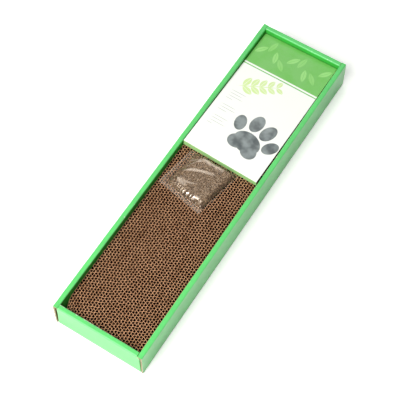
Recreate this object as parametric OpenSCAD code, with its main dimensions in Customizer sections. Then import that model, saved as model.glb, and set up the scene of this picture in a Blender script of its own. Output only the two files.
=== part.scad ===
// Cardboard cat scratcher: a shallow folded carton tray that holds a block of upright corrugated strips,
// with a folded header card and a clear pouch of dried herb lying on the block.
// X runs across the tray, Y along it towards the end that has the card, Z up.
// The origin is the middle of the tray's underside.

/* [Tray] */
// Outside length of the tray
tray_l = 480; // [400:1:560]
// Outside width of the tray
tray_w = 124; // [100:1:140]
// Outside height of the tray
tray_h = 46; // [42:1:60]
// Thickness of the tray's board
board_t = 2; // [1:0.1:2.4]
// Free play between the boards of a rolled-over side
fold_play = 0.5; // [0.2:0.1:1.5]
// Joint between an end rim and the side rims
rim_joint = 0.3; // [0.1:0.1:1]
// Outer radius of a folded crease
crease_r = 1.4; // [0.2:0.1:1.8]
// Radius of an end wall's upper corners
shoulder_r = 4; // [1:0.5:8]
// Length of the tabs that tuck into the hollow sides
tab_l = 52; // [20:1:90]
// Distance from a tab's upper edge to the rim above it
tab_drop = 3; // [0.5:0.5:10]

/* [Scratching block] */
// Height of the block
block_h = 35.5; // [25:0.5:38]
// Thickness of one strip of corrugated board
strip_t = 3.6; // [3.4:0.1:6]
// Gap between the block and the left inner wall
left_gap = 1.2; // [0.5:0.1:3]
// Smallest gap between the block and the right inner wall
right_gap = 1.2; // [0.5:0.1:3]
// Gap between the block and each end's inner wall
end_gap = 1.5; // [0.5:0.1:4]
// Thickness of the flat paper on a strip's faces
liner_t = 0.3; // [0.2:0.05:0.5]
// Thickness of the fluted paper inside a strip
medium_t = 0.3; // [0.2:0.05:0.5]
// Length of one wave of the fluted paper
flute_pitch = 7.5; // [6.6:0.1:10]
// Solid paper left at each end of a strip
strip_end = 1; // [0.5:0.1:4]

/* [Bent corner] */
// How far the front left corner of the block is pushed in
bend_depth = 6.2; // [1:0.1:7]
// Length of the left face that the bend takes up
bend_run = 25; // [12:1:60]
// Distance across the block over which the squeeze dies away
bend_reach = 24; // [22:1:60]

/* [Header card] */
// Width of the card
card_w = 108; // [60:1:108]
// Length of the card from its back edge to its front fold
card_l = 205; // [120:1:260]
// Thickness of the card
card_t = 0.5; // [0.3:0.05:1]
// Height of the front flap that holds the card's front edge up
flap_h = 8; // [3:0.1:8.4]
// Gap between the card's back edge and the inner wall
card_back_gap = 1; // [0.5:0.1:5]
// Gap between the card's left edge and the inner wall
card_left_gap = 0.8; // [0.5:0.1:2]

/* [Herb pouch] */
// Width of the pouch along its front edge
pouch_w = 68; // [40:1:74]
// Length of the pouch's left edge
pouch_side_l = 60; // [40:1:90]
// Turn of the pouch on the block, clockwise from above
pouch_turn = 10.8; // [0:0.1:14]
// Distance from the left inner wall to the pouch's front left corner
pouch_wall_gap = 3.6; // [2:0.1:8]
// Gap between the pouch and the card's flap
pouch_flap_gap = 0.3; // [0.2:0.1:3]
// Rise of the pouch above its flat edges
pouch_rise = 7; // [3:0.5:12]
// Width of the flat sealed edge
seal_w = 7; // [3:0.5:12]
// Thickness of the film
film_t = 0.2; // [0.1:0.05:0.4]
// Space between the herb and the upper film
herb_gap = 0.4; // [0.2:0.1:1]

/* [Hidden] */
// Width of a rolled-over rim: outer wall, tucked tab and inner wall
rim_w = 3 * board_t + fold_play;
// Underside of the rims
rim_z = tray_h - board_t;
// A crease is never rounder than its board allows
crease_limit_share = 0.9;
fold_r = min(crease_r, crease_limit_share * board_t);
// Space between the inner walls
well_w = tray_w - 2 * rim_w;
well_l = tray_l - 2 * rim_w;

// The block: as many strips as fit between the inner walls
strip_count = floor((well_w - left_gap - right_gap) / strip_t);
block_l = well_l - 2 * end_gap;
block_x = -well_w / 2 + left_gap;
block_top = board_t + block_h;
// Flutes of one strip: clear width between its liners, and the depth and base of a three-cornered cell
cell_span = strip_t - 2 * liner_t;
cell_depth = cell_span - medium_t;
leg_wall = medium_t / cos(atan(flute_pitch / 2 / cell_depth));
cell_base = (flute_pitch - 2 * leg_wall) / (2 - cell_span / cell_depth);
// Share of a wave by which each strip's flutes are set on from the one before
strip_step_share = 0.382;
// The part of a strip that holds cells, and the least share of a cell's base that is still cut at an end
cells_from = -block_l / 2 + strip_end;
cells_to = block_l / 2 - strip_end;
least_cell_share = 0.2;
// Straight pieces that draw the bent part of a face
bend_steps = 6;

// The card lies on the block at its back edge and on its own flap at the front
card_x = -well_w / 2 + card_left_gap;
card_back_y = well_l / 2 - card_back_gap;
card_front_y = card_back_y - card_l;
card_lie = 0.1;
card_front_z = block_top + flap_h;

// The pouch lies square to its own turn and stops at the card's flap
pouch_stop_y = card_front_y - pouch_flap_gap;
pouch_across = [cos(pouch_turn), -sin(pouch_turn)];
pouch_along = [sin(pouch_turn), cos(pouch_turn)];
pouch_fl = [-well_w / 2 + pouch_wall_gap, pouch_stop_y - pouch_side_l * cos(pouch_turn)];
pouch_fr = pouch_fl + pouch_w * pouch_across;
pouch_bl = pouch_fl + pouch_side_l * pouch_along;
pouch_br = pouch_fr + (pouch_stop_y - pouch_fr.y) / cos(pouch_turn) * pouch_along;
seal_share = seal_w / pouch_w;
// Stations across a pouch sheet, as shares of its width, and how full the swell is drawn
pouch_steps = 12;
swell_share = 0.6;
herb_in_share = 0.04;

STRIP_NAMES = [for (i = [1 : strip_count]) strip_name(i)];
TRAY_NAMES = [
    "tray_floor",
    "left_outer_wall", "left_rim", "left_inner_wall",
    "right_outer_wall", "right_rim", "right_inner_wall",
    "front_outer_wall", "front_rim", "front_inner_wall",
    "back_outer_wall", "back_rim", "back_inner_wall",
    "front_left_tab", "front_right_tab", "back_left_tab", "back_right_tab"
];
TOP_NAMES = ["header_card", "pouch_base_film", "pouch_top_film", "dried_herb"];

// Name of a strip: strip_01 is the leftmost
function strip_name(i) = str("strip_", i < 10 ? "0" : "", i);

// Tray

// Bottom panel, inside the four outer walls
module tray_floor() {
    color("#4fae62")
    translate([-tray_w / 2 + board_t, -tray_l / 2 + board_t, 0])
    cube([tray_w - 2 * board_t, tray_l - 2 * board_t, board_t]);
}

// Points of a quarter circle about centre, from one angle on
function quarter(centre, r, from) = [
    for (k = [0 : 6]) centre + r * [cos(from + 15 * k), sin(from + 15 * k)]
];

// Section of an outer wall standing on z 0, with its face at edge and its lower crease rounded
function wall_section(edge) = concat(
    quarter([edge - fold_r, fold_r], fold_r, -90),
    [[edge, rim_z], [edge - board_t, rim_z], [edge - board_t, 0]]
);

// Section of a rim whose outer edge is at edge, rounded along both creases
function rim_section(edge) = concat(
    [[edge - rim_w, rim_z], [edge, rim_z]],
    quarter([edge - fold_r, tray_h - fold_r], fold_r, 0),
    quarter([edge - rim_w + fold_r, tray_h - fold_r], fold_r, 90)
);

// A section drawn outwards and upwards, run along X and centred on it
module run_across(section, length) {
    translate([-length / 2, 0, 0])
    rotate([90, 0, 90])
    linear_extrude(length)
    polygon(section);
}

// A section drawn outwards and upwards, run along Y and centred on it
module run_along(section, length) {
    translate([0, length / 2, 0])
    rotate([90, 0, 0])
    linear_extrude(length)
    polygon(section);
}

// Outer wall of a long side, drawn on the right
module side_outer_wall() {
    color("#7db384")
    run_along(wall_section(tray_w / 2), tray_l);
}

// Flat top of a long side, drawn on the right
module side_rim() {
    color("#63de7c")
    run_along(rim_section(tray_w / 2), tray_l);
}

// Inner wall of a long side, folded down from the rim to the floor, drawn on the right
module side_inner_wall() {
    color("#1f8a35")
    translate([well_w / 2, -tray_l / 2 + board_t, board_t])
    cube([board_t, tray_l - 2 * board_t, rim_z - board_t]);
}

// Outer wall of an end, with rounded upper corners, drawn at the back
module end_outer_wall() {
    half = tray_w / 2 - board_t - fold_play;
    color("#aef5b8")
    intersection() {
        translate([0, tray_l / 2, 0])
        rotate([90, 0, 0])
        linear_extrude(board_t)
        polygon(concat(
            [[-half, 0], [half, 0]],
            quarter([half - shoulder_r, rim_z - shoulder_r], shoulder_r, 0),
            quarter([-half + shoulder_r, rim_z - shoulder_r], shoulder_r, 90)
        ));
        run_across(wall_section(tray_l / 2), tray_w);
    }
}

// Flat top of an end, between the long sides' rims, drawn at the back
module end_rim() {
    color("#63de7c")
    run_across(rim_section(tray_l / 2), well_w - 2 * rim_joint);
}

// Inner wall of an end, between the long sides' inner walls, drawn at the back
module end_inner_wall() {
    color("#17b53c")
    translate([-well_w / 2, well_l / 2, board_t])
    cube([well_w, board_t, rim_z - board_t]);
}

// Tab of an end wall, folded into the hollow of the long side, drawn at the back right
module corner_tab() {
    color("#5fbf73")
    translate([well_w / 2 + board_t, tray_l / 2 - board_t - tab_l, board_t])
    cube([board_t, tab_l, rim_z - board_t - tab_drop]);
}

// Scratching block

// How far the bend moves a point of the block to the right
function bend_at(p) =
    let (
        along = max(0, bend_run - (p.y + block_l / 2)) / bend_run,
        across = max(0, 1 - (p.x - block_x) / bend_reach)
    )
    bend_depth * along * along * across * across;

// A point of the straight block, moved as the bent corner moves it
function bent(p) = [p.x + bend_at(p), p.y];

// One face of a strip at x, from the front end to the back end
function face_line(x) =
    let (steps = x < block_x + bend_reach ? bend_steps : 0)
    concat(
        [for (k = [0 : steps]) bent([x, -block_l / 2 + bend_run * k / bend_steps])],
        [[x, block_l / 2]]
    );

function reversed(list) = [for (k = [len(list) - 1 : -1 : 0]) list[k]];

// One cell of a strip whose left face is at x: side 0 opens on the left liner, side 1 on the right one.
// It is three-cornered with its tip at y, and cut off straight where it would pass the end of the cells.
function cell(x, y, side) =
    let (
        base_x = side == 0 ? x + liner_t : x + strip_t - liner_t,
        depth = side == 0 ? cell_depth : -cell_depth,
        from = max(cells_from, y - cell_base / 2),
        to = min(cells_to, y + cell_base / 2),
        cut_ends = [if (cells_to < y + cell_base / 2) to, if (y > from && y < to) y,
            if (cells_from > y - cell_base / 2) from]
    )
    concat(
        [bent([base_x, from]), bent([base_x, to])],
        [for (t = cut_ends) bent([base_x + depth * (1 - abs(t - y) / (cell_base / 2)), t])]
    );

// A strip of corrugated board on edge: two liners, fluted paper between them, and open cells up through it
module strip(i) {
    x = block_x + (i - 1) * strip_t;
    shift = i * strip_step_share;
    start = cells_from - (shift - floor(shift)) * flute_pitch / 2;
    halves = floor((cells_to + cell_base / 2 - start) / flute_pitch * 2);
    least = least_cell_share * cell_base;
    middles = [for (k = [0 : halves]) start + k * flute_pitch / 2];
    color("#b98d63")
    translate([0, 0, board_t])
    linear_extrude(block_h)
    difference() {
        polygon(concat(face_line(x + strip_t), reversed(face_line(x))));
        for (k = [0 : halves])
            if (min(middles[k] - cells_from, cells_to - middles[k]) + cell_base / 2 > least)
                polygon(cell(x, middles[k], k % 2));
    }
}

// Header card: a sloping panel with its front edge folded down, drawn from its side outline
module header_card() {
    rise = card_front_z - block_top - card_lie - card_t;
    color("#f2f7ea")
    translate([card_x, 0, 0])
    rotate([90, 0, 90])
    linear_extrude(card_w)
    polygon([
        [card_back_y, block_top + card_lie],
        [card_back_y, block_top + card_lie + card_t],
        [card_front_y, card_front_z],
        [card_front_y, block_top],
        [card_front_y + card_t, block_top],
        [card_front_y + card_t, block_top + card_lie + rise * (card_l - card_t) / card_l]
    ]);
}

// Herb pouch

// A place on the pouch in plan: u is the share across it and v the share along it
function pouch_at(u, v) =
    (1 - v) * ((1 - u) * pouch_fl + u * pouch_fr) + v * ((1 - u) * pouch_bl + u * pouch_br);

// Stations across a sheet: the outer edge, the seal's inner edge and equal steps between
function stations(edge) = [for (k = [0 : pouch_steps]) edge + (1 - 2 * edge) * k / pouch_steps];

// Height of the swell at a share across or along, nothing at the seals
function swell(s) = s <= seal_share || s >= 1 - seal_share
    ? 0
    : pow(sin(180 * (s - seal_share) / (1 - 2 * seal_share)), swell_share);

// A closed slab over a grid of stations, between an upper and a lower height at each
module pouch_slab(at, upper, lower) {
    n = len(at);
    grid = [for (j = [0 : n - 1]) for (i = [0 : n - 1]) [i, j]];
    top = [for (g = grid) concat(pouch_at(at[g.x], at[g.y]), upper[g.x][g.y])];
    bottom = [for (g = grid) concat(pouch_at(at[g.x], at[g.y]), lower[g.x][g.y])];
    cells = [for (j = [0 : n - 2]) for (i = [0 : n - 2]) j * n + i];
    under = n * n;
    rim = concat(
        [for (i = [0 : n - 2]) i],
        [for (j = [0 : n - 2]) j * n + n - 1],
        [for (i = [n - 1 : -1 : 1]) (n - 1) * n + i],
        [for (j = [n - 1 : -1 : 1]) j * n]
    );
    polyhedron(
        points = concat(top, bottom),
        faces = concat(
            [for (c = cells) each [[c, c + n, c + 1], [c + 1, c + n, c + n + 1]]],
            [for (c = cells) each [
                [under + c, under + c + 1, under + c + n],
                [under + c + 1, under + c + n + 1, under + c + n]
            ]],
            [for (k = [0 : len(rim) - 1])
                let (a = rim[k], b = rim[(k + 1) % len(rim)])
                each [[a, b, under + a], [b, under + b, under + a]]]
        )
    );
}

// Lower sheet of film, flat on the block
module pouch_base_film() {
    color("#c9c2b6")
    translate([0, 0, block_top])
    linear_extrude(film_t)
    polygon([pouch_fl, pouch_fr, pouch_br, pouch_bl]);
}

// Upper sheet of film, swollen over the herb and sealed to the lower sheet all round
module pouch_top_film() {
    at = concat([0], stations(seal_share), [1]);
    low = block_top + film_t;
    under = [for (u = at) [for (v = at) low + pouch_rise * swell(u) * swell(v)]];
    over = [for (row = under) [for (z = row) z + film_t]];
    color("#d8d2c8")
    pouch_slab(at, over, under);
}

// Loose dried herb between the two sheets
module dried_herb() {
    at = stations(seal_share + herb_in_share);
    low = block_top + film_t;
    under = [for (u = at) [for (v = at) low]];
    over = [for (u = at) [for (v = at) low + max(film_t, pouch_rise * swell(u) * swell(v) - herb_gap)]];
    color("#6f6448")
    pouch_slab(at, over, under);
}

tray_floor();
mirror([1, 0, 0]) side_outer_wall();  // left_outer_wall
mirror([1, 0, 0]) side_rim();  // left_rim
mirror([1, 0, 0]) side_inner_wall();  // left_inner_wall
side_outer_wall();  // right_outer_wall
side_rim();  // right_rim
side_inner_wall();  // right_inner_wall
mirror([0, 1, 0]) end_outer_wall();  // front_outer_wall
mirror([0, 1, 0]) end_rim();  // front_rim
mirror([0, 1, 0]) end_inner_wall();  // front_inner_wall
end_outer_wall();  // back_outer_wall
end_rim();  // back_rim
end_inner_wall();  // back_inner_wall
mirror([1, 0, 0]) mirror([0, 1, 0]) corner_tab();  // front_left_tab
mirror([0, 1, 0]) corner_tab();  // front_right_tab
mirror([1, 0, 0]) corner_tab();  // back_left_tab
corner_tab();  // back_right_tab
for (i = [1 : strip_count]) strip(i);
header_card();
pouch_base_film();
pouch_top_film();
dried_herb();
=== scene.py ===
"""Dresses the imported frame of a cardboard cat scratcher.

A tray folded from thin green board holds a block of upright corrugated strips. A printed header card and a clear
pouch of dried herb lie on the block. Lengths are in metres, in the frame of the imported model: X runs across the
tray, Y along it towards the end with the card, and Z up.
"""

import logging
import math
from dataclasses import dataclass, field
from enum import Enum

import bmesh
import bpy
import numpy as np
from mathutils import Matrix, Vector


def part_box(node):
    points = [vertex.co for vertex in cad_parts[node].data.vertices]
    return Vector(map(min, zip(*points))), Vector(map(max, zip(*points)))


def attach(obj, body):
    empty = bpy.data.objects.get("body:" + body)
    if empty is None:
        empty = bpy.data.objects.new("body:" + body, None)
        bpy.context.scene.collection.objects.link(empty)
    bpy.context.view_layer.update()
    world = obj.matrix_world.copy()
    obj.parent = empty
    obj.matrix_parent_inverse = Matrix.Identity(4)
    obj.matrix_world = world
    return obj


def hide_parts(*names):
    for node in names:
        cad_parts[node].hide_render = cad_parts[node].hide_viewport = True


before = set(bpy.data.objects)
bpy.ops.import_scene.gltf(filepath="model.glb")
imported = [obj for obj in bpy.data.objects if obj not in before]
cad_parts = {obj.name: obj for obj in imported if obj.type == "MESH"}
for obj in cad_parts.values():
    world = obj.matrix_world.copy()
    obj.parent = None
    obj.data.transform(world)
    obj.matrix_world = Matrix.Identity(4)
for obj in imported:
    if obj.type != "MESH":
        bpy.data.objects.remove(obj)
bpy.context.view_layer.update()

LOG = logging.getLogger("cat_scratcher")
MM = 0.001
WELD = 0.001 * MM

Colour = tuple[float, float, float]
Pair = tuple[float, float]
Array = np.ndarray
Material = bpy.types.Material
Node = bpy.types.Node
Piece = bpy.types.Object
Socket = bpy.types.NodeSocket
Value = float | tuple[float, ...] | Socket


def paint(red: int, green: int, blue: int) -> Colour:
    """Turns a display colour into the linear one that a shader takes.

    Args:
        red: Red from 0 to 255.
        green: Green from 0 to 255.
        blue: Blue from 0 to 255.

    Returns:
        The linear colour.
    """
    shares = (part / 255 for part in (red, green, blue))
    return tuple(s / 12.92 if s <= 0.04045 else ((s + 0.055) / 1.055) ** 2.4 for s in shares)


def joined(*parts: Array | float) -> Array:
    """Joins coordinates to places."""
    return np.stack(np.broadcast_arrays(*parts), axis=-1)


def grid_faces(rows: int, columns: int) -> Array:
    """Numbers the corners of each face of a grid.

    Args:
        rows: Number of rows of places.
        columns: Number of columns of places.

    Returns:
        Four corner numbers for each face.
    """
    numbers = np.arange(rows * columns).reshape(rows, columns)
    corners = (numbers[:-1, :-1], numbers[1:, :-1], numbers[1:, 1:], numbers[:-1, 1:])
    return np.stack(corners, axis=-1).reshape(-1, 4)


def unit(values: Array) -> Array:
    """Keeps values between 0 and 1."""
    return np.clip(values, 0, 1)


def run_along(points: Array) -> Array:
    """Gives the distance of each point of a line from its start."""
    return np.concatenate([[0.0], np.cumsum(np.linalg.norm(np.diff(points, axis=0), axis=1))])


def placed(name: str, data: bpy.types.ID) -> Piece:
    """Makes an object from its data and links it to the scene.

    Args:
        name: Name of the object.
        data: Its mesh, light or camera.

    Returns:
        The object.
    """
    made = bpy.data.objects.new(name, data)
    bpy.context.scene.collection.objects.link(made)
    return made


@dataclass(frozen=True)
class Ripple:
    """An uneven surface: the sum of a few seeded waves between a shortest and a longest length."""

    seed: int
    height: float
    shortest: float
    longest: float
    waves: int = 9

    def at(self, u: Array, v: Array | float = 0.0) -> Array:
        """Gives the height at some places.

        Args:
            u: First coordinate of the places.
            v: Second coordinate of the places.

        Returns:
            The heights, in the shape of the places.
        """
        draw = np.random.default_rng(self.seed)
        total = np.zeros(np.broadcast(u, v).shape)
        for _ in range(self.waves):
            length = draw.uniform(self.shortest, self.longest)
            turn, phase = draw.uniform(0, math.tau, 2)
            total += np.sin(math.tau / length * (math.cos(turn) * u + math.sin(turn) * v) + phase)
        return self.height * total / math.sqrt(self.waves)


class Patches:
    """Collects the patches of faces that make one piece."""

    def __init__(self) -> None:
        """Starts with no faces."""
        self.points: list[Array] = []
        self.faces: list[Array] = []
        self.finishes: list[int] = []
        self.marks: list[dict[str, Array]] = []
        self.count = 0

    def add(self, points: Array, faces: Array, finish: int = 0, **marks: Array) -> None:
        """Adds points and the faces among them.

        Args:
            points: Places, one row each.
            faces: Corner numbers, one row for each face.
            finish: Number of the finish that the faces take.
            **marks: Values at the points, for the shaders.
        """
        points = np.asarray(points, float).reshape(-1, 3)
        self.points.append(points)
        self.faces.extend(np.asarray(face) + self.count for face in faces)
        self.finishes.extend([finish] * len(faces))
        self.marks.append({name: np.broadcast_to(values, len(points)) for name, values in marks.items()})
        self.count += len(points)

    def grid(self, points: Array, finish: int = 0, **marks: Array) -> None:
        """Adds a grid of places as four-cornered faces.

        Args:
            points: Places in rows and columns.
            finish: Number of the finish.
            **marks: Values in rows and columns, for the shaders.
        """
        spread = {name: np.broadcast_to(v, points.shape[:2]).ravel() for name, v in marks.items()}
        self.add(points, grid_faces(*points.shape[:2]), finish, **spread)

    def parted(self, points: Array, row: int, finishes: tuple[int, int], **marks: Array) -> None:
        """Adds a grid that takes another finish from one row on.

        Args:
            points: Places in rows and columns.
            row: The row.
            finishes: Numbers of the finishes before and after it.
            **marks: Values in rows and columns, for the shaders.
        """
        for rows, finish in zip((slice(0, row + 1), slice(row, None)), finishes):
            kept = {name: np.broadcast_to(v, points.shape[:2])[rows] for name, v in marks.items()}
            self.grid(points[rows], finish, **kept)

    def edges(self, upper: Array, lower: Array, finish: int = 0, **marks: Array) -> None:
        """Closes the gap between two grids all round.

        Args:
            upper: Places of one grid.
            lower: Places of the other grid.
            finish: Number of the finish.
            **marks: Values for the shaders.
        """
        for row in (0, -1):
            self.grid(np.stack([upper[row], lower[row]]), finish, **marks)
            self.grid(np.stack([upper[:, row], lower[:, row]]), finish, **marks)

    def face(self, points: Array, finish: int = 0, **marks: Array) -> None:
        """Adds one face with any number of corners."""
        self.add(points, np.arange(len(points))[None, :], finish, **marks)

    def welded(self) -> tuple[Array, list[list[int]], list[int], dict[str, Array]]:
        """Joins points that share a place, averages their marks and drops faces that collapse.

        Returns:
            The points, the faces, the faces' finishes and the marks.
        """
        points = np.vstack(self.points)
        cells = np.round(points / WELD).astype(np.int64)
        _, first, group = np.unique(cells, axis=0, return_index=True, return_inverse=True)
        group = group.ravel()
        marks = {}
        for name in sorted({name for patch in self.marks for name in patch}):
            values = [m.get(name, np.full(len(p), np.nan)) for m, p in zip(self.marks, self.points)]
            values = np.concatenate(values).astype(float)
            known = ~np.isnan(values)
            total = np.bincount(group[known], values[known], len(first))
            marks[name] = total / np.maximum(np.bincount(group[known], minlength=len(first)), 1)
        faces, finishes = [], []
        for face, finish in zip(self.faces, self.finishes):
            ring = group[face].tolist()
            ring = [corner for corner, before in zip(ring, ring[-1:] + ring[:-1]) if corner != before]
            if len(ring) > 2 and len(set(ring)) == len(ring):
                faces.append(ring)
                finishes.append(finish)
        return points[first], faces, finishes, marks

    def piece(self, name: str, finishes: list[Material], crease_deg: float = 35.0) -> Piece:
        """Joins the patches to one piece whose faces all look outwards.

        Args:
            name: Name of the piece.
            finishes: Materials, in the order of the finish numbers.
            crease_deg: Angle between faces from which their edge stays sharp.

        Returns:
            The piece, linked to the scene.
        """
        points, rings, numbers, marks = self.welded()
        mesh = bpy.data.meshes.new(name)
        mesh.from_pydata(points.tolist(), [], rings)
        mesh.polygons.foreach_set("material_index", np.array(numbers, np.int32))
        for mark, values in marks.items():
            layer = mesh.attributes.new(mark, "FLOAT", "POINT")
            layer.data.foreach_set("value", values.astype(np.float32))
        shape = bmesh.new()
        shape.from_mesh(mesh)
        bmesh.ops.remove_doubles(shape, verts=shape.verts, dist=2 * WELD)
        bmesh.ops.recalc_face_normals(shape, faces=shape.faces)
        shape.to_mesh(mesh)
        shape.free()
        mesh.polygons.foreach_set("use_smooth", np.ones(len(mesh.polygons), bool))
        mesh.set_sharp_from_angle(angle=math.radians(crease_deg))
        for finish in finishes:
            mesh.materials.append(finish)
        return placed(name, mesh)


def seat(piece: Piece, body: str, nodes: list[str]) -> Piece:
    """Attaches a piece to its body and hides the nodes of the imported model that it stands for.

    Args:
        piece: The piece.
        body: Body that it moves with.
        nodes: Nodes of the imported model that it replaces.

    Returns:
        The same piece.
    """
    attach(piece, body)
    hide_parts(*nodes)
    faces = len(piece.data.polygons)
    LOG.info("%s rides on %s in place of %s, with %d faces", piece.name, body, ", ".join(nodes), faces)
    return piece


class Wiring:
    """Adds nodes to one shader tree and links them."""

    def __init__(self, tree: bpy.types.NodeTree) -> None:
        """Keeps the tree."""
        self.tree = tree

    def feed(self, socket: Socket, value: Value) -> None:
        """Links a socket to another one, or sets its value.

        Args:
            socket: Socket that is fed.
            value: What feeds it.
        """
        if isinstance(value, Socket):
            self.tree.links.new(value, socket)
        else:
            socket.default_value = value

    def node(self, kind: str, inputs: dict[str | int, Value] | None = None, **settings: object) -> Node:
        """Adds one node.

        Args:
            kind: Blender's name of the node type.
            inputs: Values or sockets for its inputs.
            **settings: Its other settings.

        Returns:
            The node.
        """
        made = self.tree.nodes.new(kind)
        for name, value in settings.items():
            setattr(made, name, value)
        self.supply(made, inputs or {})
        return made

    def supply(self, node: Node, inputs: dict[str | int, Value]) -> None:
        """Feeds several inputs of a node."""
        for name, value in inputs.items():
            self.feed(node.inputs[name], value)

    def sum(self, operation: str, *values: Value, clamp: bool = False) -> Socket:
        """Works out one number from others.

        Args:
            operation: Blender's name of the operation.
            *values: One to three numbers or sockets.
            clamp: Whether the result stays between 0 and 1.

        Returns:
            The socket with the result.
        """
        inputs = dict(enumerate(values))
        return self.node("ShaderNodeMath", inputs, operation=operation, use_clamp=clamp).outputs[0]

    def scaled(self, value: Value, factor: Value, more: Value, clamp: bool = False) -> Socket:
        """Multiplies a value by a factor and adds more to it."""
        return self.sum("MULTIPLY_ADD", value, factor, more, clamp=clamp)

    def vector(self, operation: str, *values: Value) -> Node:
        """Adds a vector operation and gives its node."""
        return self.node("ShaderNodeVectorMath", dict(enumerate(values)), operation=operation)

    def blend(self, share: Value, first: Value, second: Value, kind: str = "MIX") -> Socket:
        """Blends two colours.

        Args:
            share: Share of the second colour.
            first: First colour.
            second: Second colour.
            kind: Blender's name of the way of blending.

        Returns:
            The socket with the colour.
        """
        made = self.node("ShaderNodeMix", {0: share}, data_type="RGBA", blend_type=kind)
        for socket, value in ((made.inputs[6], first), (made.inputs[7], second)):
            self.feed(socket, value if isinstance(value, Socket) else (*value, 1.0))
        return made.outputs[2]

    def step(self, value: Value, low: Value, high: Value) -> Socket:
        """Turns a value into a soft step from 0 at low to 1 at high."""
        inputs = {0: value, 1: low, 2: high, 3: 0.0, 4: 1.0}
        return self.node("ShaderNodeMapRange", inputs, interpolation_type="SMOOTHSTEP").outputs[0]

    def noise(self, place: Socket, scale: Value, detail: float = 2.0, roughness: float = 0.5) -> Socket:
        """Draws soft noise from 0 to 1.

        Args:
            place: Where it is drawn.
            scale: Number of lumps in a metre.
            detail: Number of finer layers.
            roughness: Strength of the finer layers.

        Returns:
            The socket with the value.
        """
        inputs = {"Vector": place, "Scale": scale, "Detail": detail, "Roughness": roughness}
        return self.node("ShaderNodeTexNoise", inputs).outputs[0]

    def mark(self, name: str) -> Socket:
        """Reads a value that the mesh carries."""
        return self.node("ShaderNodeAttribute", attribute_name=name).outputs["Fac"]

    def place(self) -> Socket:
        """Gives the place on the piece, in metres."""
        return self.node("ShaderNodeTexCoord").outputs["Object"]

    def stretched(self, place: Socket, stretch: tuple[float, float, float]) -> Socket:
        """Stretches a place by three factors."""
        return self.vector("MULTIPLY", place, stretch).outputs[0]

    def bump(self, shader: Node, height: Socket, strength: float, distance: float) -> None:
        """Makes a shader's surface bumpy."""
        made = self.node("ShaderNodeBump", {"Strength": strength, "Distance": distance, "Height": height})
        self.feed(shader.inputs["Normal"], made.outputs[0])


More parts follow.
